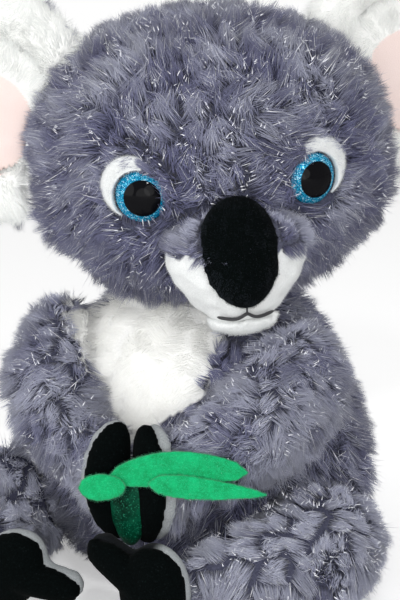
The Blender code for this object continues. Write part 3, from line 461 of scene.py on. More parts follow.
# Painted shade: the backing's first tone is a dark slate so that gaps in the grey pile read as deep shadow. Its second
# tone is the white backing under the white plush.
backing_with_painted_shade = Finish("plush_backing", Roughness=.95, Specular_IOR_Level=.1)
knit = backing_with_painted_shade.noise(900, 2)
second_tone(backing_with_painted_shade, backing_with_painted_shade.ramp(knit, (.3, (.045, .047, .075)), (.7, (.085, .088, .13))),
            backing_with_painted_shade.ramp(knit, (.3, (.84, .84, .82)), (.7, (.92, .92, .90))))
backing_with_painted_shade.bump(knit, .4, .0006)
grey_plush = plush("grey_plush_pile", (.030, .030, .060), (.185, .190, .335), (.12, .125, .18), (.66, .68, .82),
                   Sheen_Weight=.15, Sheen_Roughness=.4, Specular_IOR_Level=.3)

shield_corners = [(-.036, .185), (-.064, .178), (-.069, .150), (-.052, .137), (-.0385, .117), (-.031, .101),
                  (-.0255, .093), (-.0185, .084), (-.0067, .0905), (.0096, .1045), (.0256, .1140), (.0309, .126),
                  (.0325, .148), (.040, .185)]


def in_shield(points, corners=shield_corners):
    """Whether points on the chest lie inside the white shield, seen from the front."""
    inside = np.zeros(len(points), bool)
    x, z = points[:, 0], points[:, 2]
    for (x0, z0), (x1, z1) in zip(corners, corners[1:] + corners[:1]):
        crossing = ((z0 > z) != (z1 > z)) & (x < (x1 - x0) * (z - z0) / ((z1 - z0) or 1e-9) + x0)
        inside ^= crossing
    return inside & (points[:, 1] < -.02)


def white_on_body(points):
    """The shield goes on a little way round the body, under the right arm."""
    return in_shield(points) | in_shield(points, [(-.036, .185), (-.080, .185), (-.077, .150), (-.067, .137),
                                                  (-.053, .124), (-.045, .1185), (-.036, .116)])


body_skin = stuffed("body_plush", "body_skin", .0045, under_pile)
mark(body_skin, lambda spots, facing: white_on_body(spots))
wear(body_skin, "torso", backing_with_painted_shade, "grey_plush", "body_plush", fill=.7)
bib_low, bib_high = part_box("chest_bib")


def solid_test(node):
    """A test for points inside a CAD solid."""
    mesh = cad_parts[node].data
    tree = BVHTree.FromPolygons([v.co for v in mesh.vertices], [p.vertices for p in mesh.polygons])
    low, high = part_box(node)
    ways = [Vector(way).normalized() for way in ((.21, .13, 1), (1, .17, .23), (-.19, 1, .11))]

    def crossings(point, way):
        count, start = 0, Vector(point)
        while count < 12:
            hit = tree.ray_cast(start, way)[0]
            if hit is None:
                break
            count, start = count + 1, hit + way * .00002
        return count

    def inside(point, margin=0):
        if any(point[i] < low[i] - margin or point[i] > high[i] + margin for i in range(3)):
            return False
        if margin and tree.find_nearest(point)[3] < margin:
            return True
        return sum(crossings(point, way) % 2 for way in ways) >= 2
    return inside


def standing_in(test, roots, normals, looked_at, height, margin=0):
    """Which of the roots looked at would stand in a solid, or within a margin of it, at this height of pile."""
    out = np.zeros(len(roots), bool)
    for index in np.where(looked_at)[0]:
        out[index] = test(roots[index] + normals[index] * height, margin)
    return out


in_bib = solid_test("chest_bib")


def body_bare(roots, normals):
    """The pile stops under the seat and where the bib is sewn in."""
    out = (roots[:, 2] < .004) & (normals[:, 2] < -.6) | white_on_body(roots)
    front = ((roots[:, 1] < -.02) & (normals[:, 1] < -.2) & (roots[:, 2] > bib_low.z - .005)
             & (roots[:, 2] < bib_high.z + .005))
    return out | standing_in(in_bib, roots, normals, front, .0075, .0005)


def downwards(roots, normals):
    """Pile stroked down the body and a little outwards."""
    way = np.zeros_like(roots)
    way[:, 2] = -1
    way[:, :2] += unit(roots[:, :2]) * .35
    return way


for part_name, seed in (("a", 101), ("b", 102)):
    grey_fur("torso", "body_pile_" + part_name, body_skin, 33000, .0135, fur_width, downwards, seed,
             tinsel=.012, bare=body_bare)
tinsel_threads(body_skin, "torso", 2400, downwards, 103, body_bare)


# ---- Bottom panel and pellet bag ----------------------------------------------------------------
# A round of grey twill closes the body underneath, with a sewn rim. On it, inside the body, lies a
# white cloth bag of plastic pellets that keeps the koala sitting upright.
grey_twill = Finish("grey_twill", Roughness=.9, Specular_IOR_Level=.2, Sheen_Weight=.15)
stripe = grey_twill.node("ShaderNodeTexWave", {"Scale": 330, "Distortion": .6, "Detail": 2, "Detail Scale": 3},
                         wave_type="BANDS", bands_direction="DIAGONAL")
grey_twill.tree.links.new(grey_twill.place(), stripe.inputs["Vector"])
patchy = grey_twill.noise(60, 4)
grey_twill.set("Base Color", grey_twill.mix(patchy, (.10, .103, .125), (.17, .174, .20)))
grey_twill.bump(stripe.outputs["Fac"], .35, .0003)
panel = stuffed("bottom_panel", "bottom_panel_cloth", .0012, 0, ease=3)
wear(panel, "torso", grey_twill, "grey_cloth", "bottom_panel")

white_calico = Finish("white_calico", Roughness=.85, Specular_IOR_Level=.2, Sheen_Weight=.1)
lumps = white_calico.node("ShaderNodeTexVoronoi", {"Vector": white_calico.place(), "Scale": 260},
                          feature="SMOOTH_F1")
white_calico.set("Base Color", white_calico.mix(white_calico.noise(90, 4), (.62, .61, .57), (.78, .77, .73)))
white_calico.bump(lumps.outputs["Distance"], .6, .0015)
bag = stuffed("pellet_bag", "pellet_bag_cloth", .0025, .0004, ease=2)
lumpy = bpy.data.textures.new("pellets", "VORONOI")
lumpy.noise_scale = .006
pellets = bag.modifiers.new("Pellets", "DISPLACE")
pellets.texture = lumpy
pellets.texture_coords = "LOCAL"
pellets.strength = .0012
pellets.mid_level = 1
apply_all(bag)
wear(bag, "torso", white_calico, "white_cloth", "pellet_bag", fill=.5)


# ---- Bib ----------------------------------------------------------------------------------------
# The bib is a shield of soft white plush, sewn into the chest from under the chin down to the hands.
# Its pile is finer than the grey and runs on over the edges of the body and the right arm.
white_plush = plush("white_plush_pile", (.82, .82, .80), (.90, .90, .88), (.85, .85, .83), (.93, .93, .915),
                    (.95, .95, .94), Sheen_Weight=.2, Sheen_Roughness=.4, Specular_IOR_Level=.25)
bib_skin = stuffed("chest_bib", "bib_skin", .0022, .0012, ease=3)
mark(bib_skin, lambda spots, facing: in_shield(spots))
wear(bib_skin, "torso", backing_with_painted_shade, "white_plush", "chest_bib", fill=.4)


def outside_shield(roots, normals):
    return ~white_on_body(roots) | (normals[:, 1] > -.05)


def inside_shield(roots, normals):
    return white_on_body(roots) | (normals[:, 1] > -.05)


def over_the_edge(roots, normals):
    """Grey pile beside the bib, stroked down and in over the bib's edge."""
    way = downwards(roots, normals)
    way[:, 0] -= .9 * np.sign(roots[:, 0])
    return way


def onto_the_arm(roots, normals):
    """White pile at the bib's edge, stroked out and forward onto the right arm."""
    return np.tile((-1.0, -.45, -.25), (len(roots), 1))


def over_the_chest(roots, normals):
    """White pile stroked down and to the koala's right."""
    way = downwards(roots, normals)
    way[:, 0] -= .55
    return way


white_fur("torso", "bib_pile", bib_skin, 26000, .0085, .00032, over_the_chest, 131, lift=(42, 16), swirl=.8,
          clump=.010, pull=.2, sag=.02, bare=outside_shield)
white_fur("torso", "bib_edge_pile", body_skin, 70000, .0105, white_width, over_the_chest, 132, lift=(42, 16),
          swirl=.8, clump=.010, pull=.3, sag=.02, bare=outside_shield)
white_fur("torso", "bib_fringe_pile", body_skin, 90000, .0150, white_width, onto_the_arm, 134, lift=(66, 46),
          swirl=.5, splay=.3, clump=.010, pull=.3, sag=.12,
          bare=lambda roots, normals: ~white_on_body(roots) | (roots[:, 0] > -.046) | (roots[:, 2] < .122))
grey_fur("torso", "beside_bib_pile", bib_skin, 36000, .0125, fur_width, over_the_edge, 133, bare=inside_shield)


# ---- Head skin ----------------------------------------------------------------------------------
# The head is a wide ball of the same grey plush, turned to the koala's left. Its pile is stroked
# away from the nose, lies open round the eyes, and stands up along the cheeks and brow.
head_turn = (Matrix.Translation((0, 0, .2435))
             @ Euler((0, math.radians(-5), math.radians(29.8))).to_matrix().to_4x4())
eye_clear = .0150       # pile starts this far from the middle of an eye
nose_root = np.array(head_turn @ Vector((0, -.100, -.055)))
eye_places = {"left": ((.08777, -.05319, .23731), (93.804, -4.576, 53.62)),
              "right": ((.00305, -.10171, .22877), (97.838, -4.576, 5.98))}
eye_frames = {side: Matrix.Translation(place) @ Euler([math.radians(a) for a in turn]).to_matrix().to_4x4()
              for side, (place, turn) in eye_places.items()}

to_head = np.array(head_turn.inverted())


def in_head(points):
    return points @ to_head[:3, :3].T + to_head[:3, 3]


def cheeks(spots, facing):
    """The head narrows a little below its ears, more so on its right."""
    own = in_head(spots)
    low = step(own[:, 2], .025, -.020)
    return -((.0040 + .0040 * low) * step(own[:, 0], -.045, -.085) + .0025 * low * step(own[:, 0], .045, .085))


head_skin = shift(stuffed("head_plush", "head_skin", .0045, under_pile), cheeks)
wear(head_skin, "head", backing_with_painted_shade, "grey_plush", "head_plush", fill=.75)
in_muzzle = solid_test("muzzle")
in_lip = solid_test("lower_lip")


def away_from_nose(roots, normals):
    """Pile stroked away from the nose and from each eye, and down a little by its own weight."""
    way = unit(roots - nose_root)
    for side, seat in eye_frames.items():
        centre = np.array(seat.translation)
        apart = roots - centre
        far = np.linalg.norm(apart, axis=1, keepdims=True)
        way += unit(apart) * 2.6 * np.exp(-(far / .026) ** 2)
    way[:, 2] -= .15
    return way


def head_bare(roots, normals):
    """No pile under the eyes, the muzzle and the lip."""
    out = np.zeros(len(roots), bool)
    for seat in eye_frames.values():
        out |= np.linalg.norm(roots + normals * .006 - np.array(seat.translation), axis=1) < eye_clear
    near = np.linalg.norm(roots - nose_root, axis=1) < .075
    for test in (in_muzzle, in_lip):
        out |= standing_in(test, roots, normals, near, .004, .001)
    return out


def painted_shade_under_cheeks(roots):
    """Painted shade: the pile is darker low on the head, and much darker low on the right cheek than on the left."""
    own = in_head(roots)
    return step(own[:, 2], .015, -.025) * (-.62 * step(own[:, 0], .01, -.04) - .24)


for part_name, seed in (("a", 201), ("b", 202), ("c", 203)):
    grey_fur("head", "head_pile_" + part_name, head_skin, 36000, .0135, fur_width, away_from_nose, seed,
             bare=head_bare, spread=.36, shade=painted_shade_under_cheeks)
tinsel_threads(head_skin, "head", 6500, away_from_nose, 204, head_bare)


# ---- Ears ---------------------------------------------------------------------------------------
# Each ear is a round flap: grey plush behind, a wide border of white plush in front, and a round
# lining of pale pink velour sewn inside the border.
pink_velour = Finish("pink_velour", Roughness=.9, Specular_IOR_Level=.2, Sheen_Weight=.35, Sheen_Roughness=.4)
fibres = pink_velour.noise(1400, 3)
brushed = pink_velour.noise(45, 4)
second_tone(pink_velour, pink_velour.mix(pink_velour.sum("MULTIPLY", fibres, brushed), (.84, .68, .635),
                                         (.94, .815, .78)),
            pink_velour.ramp(fibres, (.3, (.86, .86, .84)), (.7, (.94, .94, .92))))
pink_velour.bump(fibres, .35, .0004)
# Painted shade: the plain tone of the ears' white plush is a greyed white for plush in shade, and the frosted tone is
# the bright white of lit plush.
ear_plush_lit_and_shaded = plush("ear_plush_pile", (.66, .675, .66), (.76, .775, .76), (.85, .86, .845), (.93, .935, .92),
                  (.95, .95, .94), Sheen_Weight=.2, Sheen_Roughness=.4, Specular_IOR_Level=.25)
ear_frames = {
    "left": Matrix.Translation((.07785, .04689, .28021)) @ Euler(
        [math.radians(a) for a in (0, -22, 29.8)]).to_matrix().to_4x4(),
    "right": Matrix.Translation((-.08418, -.0459, .26388)) @ Euler(
        [math.radians(a) for a in (0, 12, 29.8)]).to_matrix().to_4x4()}


def outward_from(centre):
    centre = np.array(centre)
    return lambda roots, normals: unit(roots - centre) + np.array((0, 0, -.25))


for side, out_way, seed in (("left", 1, 301), ("right", -1, 311)):
    body = side + "_ear"
    middle = ear_frames[side] @ Vector((out_way * .0294, .004, 0))
    root = ear_frames[side] @ Vector((out_way * -.02, .006, 0))
    front_way = ear_frames[side].to_3x3() @ Vector((0, -1, 0))
    facing = np.array(front_way)
    pink_middle = np.array(ear_frames[side] @ Vector((out_way * .031, -.002, -.011)))

    def from_pink(points):
        """How far points lie from the middle of the round of the lining that shows."""
        apart = points - pink_middle
        return np.linalg.norm(apart - (apart @ facing)[:, None] * facing, axis=1)

    def in_front(points, normals):
        """The sides of the grey back that face the white border and the lining."""
        inner = (from_pink(points) < .042) & ((points - pink_middle) @ facing > -.006)
        return (normals @ facing > -.05) | inner

    back_skin = stuffed(side + "_ear_back", side + "_ear_back_skin", .0035, .003, ease=3)
    mark(back_skin, lambda spots, normals: normals @ facing > np.where(from_pink(spots) < .042, -.5, .1))
    wear(back_skin, body, backing_with_painted_shade, "grey_plush", side + "_ear_back", fill=.3)
    grey_fur(body, side + "_ear_back_pile", back_skin, 18000, .0140, fur_width, outward_from(root), seed,
             lift=(34, 12), bare=in_front)
    front_skin = stuffed(side + "_ear_front", side + "_ear_front_skin", .003, -.0006, ease=3)
    mark(front_skin, lambda spots, normals: step(from_pink(spots), .0300, .0312))
    wear(front_skin, body, pink_velour, "white_plush", side + "_ear_front", fill=.3)

    def pink_or_behind(roots, normals):
        """No white pile behind, nor on the round of the lining that shows."""
        return (normals @ facing < -.25) | (from_pink(roots) < .0285)

    lining = stuffed(side + "_ear_lining", side + "_ear_lining_cloth", .0010, -.0018, ease=22)
    mark(lining, lambda spots, normals: step(from_pink(spots), .0300, .0312))
    wear(lining, body, pink_velour, "pink_velour", side + "_ear_lining", fill=.2)
    # Painted shade: the right ear's white pile takes more of the greyed plain tone than the left ear's.
    for place, skin, number, offset in (("front", front_skin, 26000, 1), ("lining", lining, 15000, 2)):
        white = pile(f"{side}_ear_{place}_pile", skin, number, .0090, .00036, outward_from(pink_middle),
                     seed + offset, lift=(42, 18), clump=.006, pull=.2, splay=.25, tinsel=0, sag=.03,
                     bare=pink_or_behind, light=True, tone={"left": .90, "right": .40}[side], spread=.12)
        wear(white, body, ear_plush_lit_and_shaded, "white_plush")


# ---- Eyes ---------------------------------------------------------------------------------------
# Each eye is a glossy plastic dome with a black pupil in a ring of blue glitter; its brightest flakes are
# painted glints. A ribbed stem goes through the head's skin and holds in a washer inside. A patch of
# white plush sits behind.
black_plastic = Finish("black_plastic", Roughness=.35)
black_plastic.set("Base Color", black_plastic.mix(black_plastic.noise(300, 4), (.010, .010, .011),
                                                  (.022, .022, .024)))
black_plastic.bump(black_plastic.noise(700, 3), .15, .0002)
washer_plastic = Finish("washer_plastic", Roughness=.4)
washer_plastic.set("Base Color", washer_plastic.mix(washer_plastic.noise(250, 4), (.60, .62, .63),
                                                    (.75, .77, .78)))
washer_plastic.bump(washer_plastic.noise(500, 3), .2, .0002)

eye_radius, dome_height = .0144, .0075
for side, seat in eye_frames.items():
    eye_plastic = Finish(side + "_eye_plastic", Roughness=.2, Specular_IOR_Level=.0, Coat_Weight=.18,
                         Coat_Roughness=.02)
    local = eye_plastic.node("ShaderNodeMapping", {"Vector": eye_plastic.place(), "Location": seat.translation,
                                                   "Rotation": seat.to_euler()}, vector_type="TEXTURE")
    split = eye_plastic.node("ShaderNodeSeparateXYZ", {"Vector": local.outputs[0]})

    def from_middle(across):
        squares = [eye_plastic.sum("POWER", value, 2) for value in (across, split.outputs["Y"])]
        return eye_plastic.sum("SQRT", eye_plastic.sum("ADD", *squares), 0)

    pupil_aside = {"left": .0003, "right": -.0021}[side]
    pupil_out = from_middle(eye_plastic.sum("ADD", split.outputs["X"], pupil_aside))
    out = from_middle(split.outputs["X"])
    share = eye_plastic.sum("DIVIDE", out, eye_radius)
    # Painted glints: the blue glitter flakes vary in tone, and the brightest are painted near white as glints.
    flakes = eye_plastic.node("ShaderNodeTexVoronoi", {"Vector": local.outputs[0], "Scale": 2100})
    glint = eye_plastic.node("ShaderNodeSeparateXYZ", {"Vector": flakes.outputs["Color"]}).outputs["X"]
    glitter_and_glints = eye_plastic.ramp(glint, (.0, (.002, .07, .17)), (.35, (.004, .16, .33)), (.7, (.010, .34, .56)),
                               (.88, (.09, .58, .80)), (1, (.75, .97, 1)))
    edge = eye_plastic.grey_ramp(eye_plastic.sum("DIVIDE", pupil_out, eye_radius), (.675, 0), (.70, 1))
    rim = eye_plastic.grey_ramp(share, (.94, 0), (.985, .9))
    iris = eye_plastic.mix(rim, glitter_and_glints, (.004, .03, .06))
    eye_plastic.set("Base Color", eye_plastic.mix(edge, (.003, .003, .004), iris))
    eye_plastic.set("Metallic", eye_plastic.sum("MULTIPLY", edge, .12))

    round_radius = (eye_radius ** 2 + dome_height ** 2) / (2 * dome_height)
    bpy.ops.object.select_all(action="DESELECT")
    bpy.ops.mesh.primitive_uv_sphere_add(segments=64, ring_count=48, radius=round_radius,
                                         location=(0, 0, dome_height - round_radius))
    dome = bpy.context.object
    dome.name = side + "_eye"
    bpy.ops.object.transform_apply(location=True, rotation=True, scale=True)
    bpy.ops.object.mode_set(mode="EDIT")
    bpy.ops.mesh.select_all(action="SELECT")
    bpy.ops.mesh.bisect(plane_co=(0, 0, 0), plane_no=(0, 0, 1), use_fill=True, clear_inner=True)
    bpy.ops.object.mode_set(mode="OBJECT")
    rounded = dome.modifiers.new("Rounded rim", "BEVEL")
    rounded.width = .0005
    rounded.segments = 3
    rounded.limit_method = "ANGLE"
    rounded.angle_limit = math.radians(25)
    apply_all(dome)
    dome.data.transform(seat @ Matrix.Translation((0, 0, -.0072)))
    bpy.ops.object.shade_smooth_by_angle(angle=math.radians(50))
    wear(dome, "head", eye_plastic, "eye_plastic", side + "_eye_dome")
    for node, finish in (("stem", black_plastic), ("washer", washer_plastic)):
        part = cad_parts[side + "_eye_" + node]
        part.data.materials.clear()
        part.data.materials.append(finish.material)


# ---- Muzzle, lip, mouth and nose -------------------------------------------------------------
# The muzzle and the lip under it are stuffed forms of short white velour. The mouth is a line of
# black thread sewn between them, and the nose is a tall stuffed oval of black velour.
white_velour = plush("white_velour", (.62, .64, .64), (.76, .78, .78), (.70, .72, .72), (.86, .88, .875),
                     Sheen_Weight=.3, Sheen_Roughness=.35, Specular_IOR_Level=.2)
# Painted sheen: the black velour's frosted tone gives paler blue-grey tips in wandering patches, which stand for its
# sheen. Its few bleached hairs are lint.
black_velour = plush("black_velour", (.001, .0015, .002), (.003, .004, .006), (.004, .005, .006),
                     (.060, .072, .092), (.09, .10, .11), Sheen_Weight=.01, Sheen_Roughness=.5, Specular_IOR_Level=.03)
white_velour_cloth = Finish("white_velour_cloth", Roughness=.9, Specular_IOR_Level=.2, Sheen_Weight=.2)
fibres = white_velour_cloth.noise(1300, 3)
# Painted shade: the second tone, under the grey pile, is a dark slate so that gaps in that pile read as shadow.
second_tone(white_velour_cloth, white_velour_cloth.ramp(fibres, (.3, (.70, .715, .71)), (.7, (.83, .845, .84))),
            white_velour_cloth.ramp(fibres, (.3, (.06, .062, .095)), (.7, (.11, .115, .16))))
white_velour_cloth.bump(fibres, .35, .0004)
black_velour_cloth = Finish("black_velour_cloth", Roughness=.9, Specular_IOR_Level=.03, Sheen_Weight=.01)
fibres = black_velour_cloth.noise(1300, 3)
black_velour_cloth.set("Base Color", black_velour_cloth.ramp(
    fibres, (.35, (.0005, .001, .001)), (.66, (.0015, .003, .003)), (.82, (.022, .028, .033))))
black_velour_cloth.bump(fibres, .4, .0004)
black_thread = Finish("black_thread", Roughness=.55, Sheen_Weight=.2)
black_thread.set("Base Color", black_thread.mix(black_thread.noise(1500, 3), (.006, .006, .008),
                                                (.03, .03, .034)))
black_thread.bump(black_thread.noise(1800, 2), .4, .0003)


def short_pile(name, piece, body, number, finish, slot, seed, length=.0018, comb=downwards, bare=None):
    return wear(pile(name, piece, number, length, .00016, comb, seed, lift=(62, 40), swirl=.6, clump=.004,
                     pull=.15, sag=0, tinsel=0, bare=bare), body, finish, slot)


for side, seed in (("left", 401), ("right", 402)):
    to_eye = np.array(eye_frames[side].inverted())

    def nose_side(points, normals, turn={"left": 1, "right": -1}[side]):
        """The part of a patch on the side of the nose, where grey plush lies over it."""
        own = points @ to_eye[:3, :3].T + to_eye[:3, 3]
        return own[:, 0] * turn < {1: -.006, -1: -.0035}[turn]

    patch = stuffed(side + "_eye_patch", side + "_eye_patch_cloth", .0010, .0003, ease=3)
    mark(patch, nose_side)
    wear(patch, "head", white_velour_cloth, "white_velour", side + "_eye_patch", fill=.2)
    short_pile(side + "_eye_patch_pile", patch, "head", 4500, white_velour, "white_velour", seed,
               comb=away_from_nose, bare=nose_side)

    def off_the_lash(points, normals):
        """Grey plush lies over the patch on the side of the nose only, and never at the eye."""
        from_eye = np.linalg.norm(points - np.array(eye_frames[side].translation), axis=1)
        return ~nose_side(points, normals) | (from_eye < eye_clear)

    grey_fur("head", side + "_eye_lash_pile", patch, 5000, .0085, .0005, away_from_nose, seed + 10,
             lift=(50, 24), bare=off_the_lash)


def above_the_seam(roots, normals):
    """The top of the muzzle, over the seam at its widest line, which is grey plush."""
    height = roots @ to_head[2, :3] + to_head[2, 3]
    return height + .0009 * wander(roots, .010, 9) > -.0392


def over_the_muzzle(roots, normals):
    """Pile stroked back and out over the muzzle's top."""
    way = away_from_nose(roots, normals)
    way[:, 2] -= .9
    return way


in_nose = solid_test("nose")


def below_or_nose(roots, normals):
    """No grey plush under the seam, nor at the nose."""
    below = ~above_the_seam(roots, normals)
    return below | standing_in(in_nose, roots, normals, ~below, .001, .0005)


def dimples(points, normals):
    """Shallow folds of the velour over its stuffing."""
    return .0007 * wander(points, .022, 7) + .0003 * wander(points, .010, 8)


muzzle_skin = shift(stuffed("muzzle", "muzzle_skin", .0020, .0005, ease=5), dimples)
mark(muzzle_skin, above_the_seam)
wear(muzzle_skin, "head", white_velour_cloth, "white_velour", "muzzle", fill=.7)
short_pile("muzzle_pile", muzzle_skin, "head", 22000, white_velour, "white_velour", 501, length=.0013,
           comb=away_from_nose, bare=above_the_seam)
grey_fur("head", "muzzle_top_pile", muzzle_skin, 30000, .0085, .0005, over_the_muzzle, 505, lift=(62, 36),
         sag=0, clump=.008, pull=.45, splay=.4, tinsel=.01, bare=below_or_nose)


def full_lip(spots, facing):
    """The lip is fullest where it meets the muzzle and at its two ends."""
    own = facing @ to_head[:3, :3].T
    return .0014 * step(own[:, 2], -.3, .5) + .0016 * step(np.abs(own[:, 0]), .3, .9)


lip_skin = shift(stuffed("lower_lip", "lip_skin", .0018, .0001, ease=4), full_lip)
wear(lip_skin, "head", white_velour_cloth, "white_velour", "lower_lip", fill=.7)
short_pile("lip_pile", lip_skin, "head", 7000, white_velour, "white_velour", 502)
nose_skin = stuffed("nose", "nose_skin", .0018, .0006, ease=4)
own = np.array([head_turn.inverted() @ vertex.co for vertex in nose_skin.data.vertices])
own[:, 0] *= 1 - .11 * step(own[:, 2], -.040, -.012) + .05 * step(own[:, 2], -.036, -.050) + .11 * (own[:, 0] < 0)
own[:, 2] += .0025 * step(own[:, 2], -.034, -.014)
nose_skin.data.vertices.foreach_set("co", np.array([head_turn @ Vector(spot) for spot in own]).ravel())
nose_skin.data.update()
wear(nose_skin, "head", black_velour_cloth, "black_velour", "nose", fill=.8)
short_pile("nose_pile", nose_skin, "head", 18000, black_velour, "black_velour", 503, length=.0015)
mouth = cut_like("mouth_stitch", "mouth_thread")
own = np.array([head_turn.inverted() @ vertex.co for vertex in mouth.data.vertices])
middle = own[np.abs(own[:, 0]) < .0015].mean(0)
start, end = (head_turn @ Vector(spot) for spot in (middle, middle + (0, -.0010, .0040)))
bpy.ops.object.select_all(action="DESELECT")
bpy.ops.mesh.primitive_cylinder_add(vertices=10, radius=.0005, depth=(end - start).length,
                                    location=(start + end) / 2,
                                    rotation=(end - start).to_track_quat("Z", "Y").to_euler())
bpy.ops.object.transform_apply(location=True, rotation=True, scale=True)
stitch = bpy.context.object
rounder = mouth.modifiers.new("Round", "SUBSURF")
rounder.levels = rounder.render_levels = 2
apply_all(mouth)
shift(mouth, lambda spots, facing: np.full(len(spots), .00025))
pick(mouth)
stitch.select_set(True)
bpy.ops.object.join()
wear(mouth, "head", black_thread, "black_thread", "mouth_stitch")


# ---- Arms and hands -----------------------------------------------------------------------------
# The arms are bent tubes of grey plush. Each ends in a hand with a black velour palm and a narrow
# edge band of light grey velour. The hands meet round the stalk of the leaves.
light_grey_velour = Finish("light_grey_velour", Roughness=.9, Specular_IOR_Level=.1, Sheen_Weight=.04)
fibres = light_grey_velour.noise(1300, 3)
second_tone(light_grey_velour, light_grey_velour.ramp(fibres, (.3, (.26, .28, .29)), (.7, (.42, .44, .45))),
            light_grey_velour.ramp(fibres, (.3, (.002, .003, .004)), (.7, (.008, .009, .011))))
light_grey_velour.bump(fibres, .4, .0004)


def down_the_arm(side_way):
    def comb(roots, normals):
        """Down from the shoulder to the elbow, then forward and in to the hand."""
        share = np.clip((.128 - roots[:, 2]) / .03, 0, 1)[:, None]
        upper = np.array((side_way * .25, -.15, -1.0))
        fore = np.array((-side_way * .8, -.55, -.45))
        return upper * (1 - share) + fore * share
    return comb


def on_the_shield(points):
    """Where the white plush of the chest runs onto the right arm."""
    return in_shield(points - (0, .008, 0)) & (points[:, 0] < 0) & (points[:, 2] > .116) & (points[:, 1] > -.092)


for side, side_way, seed in (("left", 1, 601), ("right", -1, 611)):
    body = side + "_arm"

    def shoulder(spots, facing, side_way=side_way):
        """The upper arm is fuller on its outer side and over the shoulder."""
        outer = step(spots[:, 0] * side_way, .075, .105) * step(facing[:, 0] * side_way, 0, .5)
        top = (step(spots[:, 2], .125, .150) * step(facing[:, 2], .1, .7)
               * step(spots[:, 0] * side_way, .060, .080))
        return {1: .002, -1: .006}[side_way] * np.maximum(outer, 1.3 * top)

    arm_skin = shift(stuffed(side + "_arm", side + "_arm_skin", .004, .005), shoulder)
    mark(arm_skin, lambda spots, facing: on_the_shield(spots))
    wear(arm_skin, body, backing_with_painted_shade, "grey_plush", side + "_arm", fill=.6)
    in_palm = solid_test(side + "_palm")

    def arm_bare(roots, normals):
        return on_the_shield(roots) | standing_in(in_palm, roots, normals, roots[:, 1] < -.07, .003, .003)

    # Painted light: the arm pile takes a much paler tone than the head's, to brighten the arms.
    for part_name, offset in (("a", 0), ("b", 1)):
        grey_fur(body, f"{side}_arm_pile_{part_name}", arm_skin, 13500, .0130, fur_width,
                 down_the_arm(side_way), seed + offset, lift=(52, 26), clump=.009, pull=.6, tone=.86,
                 tinsel=.010, bare=arm_bare)
    tinsel_threads(arm_skin, body, 1000, down_the_arm(side_way), seed + 5, arm_bare)
    if side == "right":
        white_fur(body, "right_arm_white_pile", arm_skin, 42000, .0105, white_width, over_the_chest, 620,
                  lift=(42, 16), swirl=.8, clump=.010, pull=.3, sag=.02,
                  bare=lambda roots, normals: ~on_the_shield(roots))
    band = stuffed(side + "_hand_edge", side + "_hand_band", .0016, .0002, ease=8)
    wear(band, body, light_grey_velour, "light_grey_velour", side + "_hand_edge", fill=.5)
    palm = stuffed(side + "_palm", side + "_palm_cloth", .0016, -.0022, ease=8)
    wear(palm, body, black_velour_cloth, "black_velour", side + "_palm", fill=.6)


# ---- Leaves -------------------------------------------------------------------------------------
# The leaves are bright green felt, cut flat and held at the folded stalk between the hands. Behind
# them stands a padded leaf of dark green satin, with painted sheen and painted glints in its colour. All ride on the
# left hand.
green_felt = Finish("green_felt", Roughness=.95, Specular_IOR_Level=.12, Sheen_Weight=.2, Sheen_Roughness=.5)
fuzz = green_felt.noise(1500, 5, .75)
cloud = green_felt.noise(160, 4, .65)
mottle = green_felt.ramp(cloud, (.35, (.0005, .31, .095)), (.65, (.001, .50, .175)))
green_felt.set("Base Color", green_felt.mix(green_felt.grey_ramp(fuzz, (.50, 0), (.72, 1)), mottle,
                                            (.03, .68, .31)))
green_felt.bump(fuzz, .8, .0008)
felt_fuzz = plush("felt_fuzz", (.001, .30, .09), (.003, .47, .17), (.006, .50, .20), (.05, .72, .36),
                  (.30, .85, .55), Specular_IOR_Level=.1, Sheen_Weight=.2)
dark_satin = Finish("dark_green_satin", Roughness=.35, Specular_IOR_Level=.06)
# Painted sheen and glints: the satin's base colour is paler in wandering patches for its sheen, and the brightest
# specks of its woven glitter are painted bright green as glints.
specks = dark_satin.node("ShaderNodeTexVoronoi", {"Vector": dark_satin.place(), "Scale": 2600})
glint_speck = dark_satin.node("ShaderNodeSeparateXYZ", {"Vector": specks.outputs["Color"]}).outputs["X"]
shine = dark_satin.noise(110, 4, .7)
dark_satin.set("Base Color", dark_satin.mix(dark_satin.grey_ramp(glint_speck, (.90, 0), (1, .8)), dark_satin.ramp(
    shine, (.35, (.0003, .014, .007)), (.65, (.0012, .062, .030))), (.03, .34, .19)))
dark_satin.bump(dark_satin.noise(150, 3), .6, .0012)


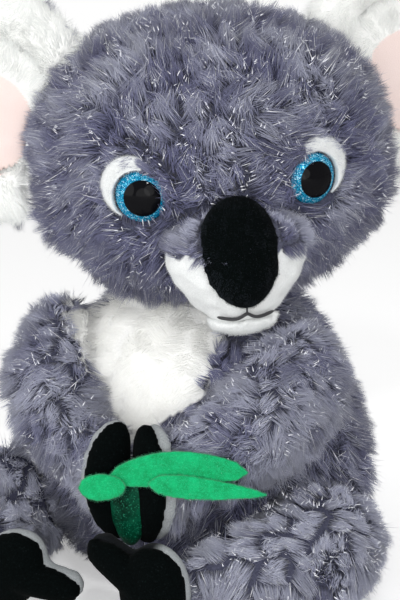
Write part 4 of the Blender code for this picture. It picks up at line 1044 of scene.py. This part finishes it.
for node, name, flat, fuzz_number in (("leaf_large", "large_leaf", (.078, .021), 14000),
                                      ("leaf_small", "small_leaf", (.064, .0108), 7000),
                                      ("leaf_stalk", "leaf_stalk_end", (.026, .0145), 4000)):
    leaf = stuffed(node, name, .0009, 0, ease=2)
    if node == "leaf_small":
        spots = np.array([vertex.co for vertex in leaf.data.vertices])
        middle = spots.mean(0)
        axes = np.linalg.eigh(np.cov((spots - middle).T))[1]
        own = (spots - middle) @ axes
        share = own[:, 2] / np.abs(own[:, 2]).max() * (1 if axes[0, 2] > 0 else -1)
        own[:, 1] *= 1.12 - .50 * share
        leaf.data.vertices.foreach_set("co", (own @ axes.T + middle).ravel())
        leaf.data.update()
    wear(leaf, "left_arm", green_felt, "green_felt", node)
    wear(pile(name + "_fuzz", leaf, fuzz_number, .0016, .00010, downwards, 801, lift=(60, 30), swirl=3, splay=2,
              clump=.003, pull=.1, sag=0, tinsel=0, tone=.4, spread=.25),
         "left_arm", felt_fuzz, "green_felt")
dark_leaf = stuffed("leaf_dark", "dark_leaf", .0014, 0, ease=3)
wear(dark_leaf, "left_arm", dark_satin, "dark_green_satin", "leaf_dark", fill=.7)


# ---- Legs and feet ------------------------------------------------------------------------------
# The legs are short bent tubes of grey plush that lie forward on the floor. Each foot has a black
# velour sole with a thumb and a light grey edge band, as the hands have.
for side, side_way, seed in (("left", 1, 701), ("right", -1, 711)):
    body = side + "_leg"
    leg_skin = wear(stuffed(side + "_leg", side + "_leg_skin", .004, .005), body, backing_with_painted_shade, "grey_plush",
                    side + "_leg", fill=.6)
    in_sole = solid_test(side + "_sole")

    def leg_bare(roots, normals):
        under = (roots[:, 2] < .009) & (normals[:, 2] < -.7)
        return under | standing_in(in_sole, roots, normals, roots[:, 1] < -.09, .003, .003)

    def down_the_leg(roots, normals, side_way=side_way):
        way = np.zeros_like(roots)
        way[:] = (-side_way * .2, -.9, -.55)
        return way

    # Painted light: the leg pile takes a paler tone and more frosted hairs than the arms', to brighten the legs.
    grey_fur(body, side + "_leg_pile", leg_skin, 30000, .0130, fur_width, down_the_leg, seed, lift=(52, 26),
             clump=.009, pull=.6, tone=1.3, tinsel=.010, frost=.14, bare=leg_bare)
    tinsel_threads(leg_skin, body, 1500, down_the_leg, seed + 5, leg_bare)
    band = stuffed(side + "_foot_edge", side + "_foot_band", .0018, .0002, ease=8)
    if side == "left":
        middle = (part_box("left_foot_edge")[0].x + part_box("left_foot_edge")[1].x) / 2
        mark(band, lambda spots, facing: step(spots[:, 0], middle + .017, middle + .009))
    wear(band, body, light_grey_velour, "light_grey_velour", side + "_foot_edge", fill=.5)
    sole = stuffed(side + "_sole", side + "_sole_cloth", .0018, -.0032, ease=8)
    wear(sole, body, black_velour_cloth, "black_velour", side + "_sole", fill=.6)


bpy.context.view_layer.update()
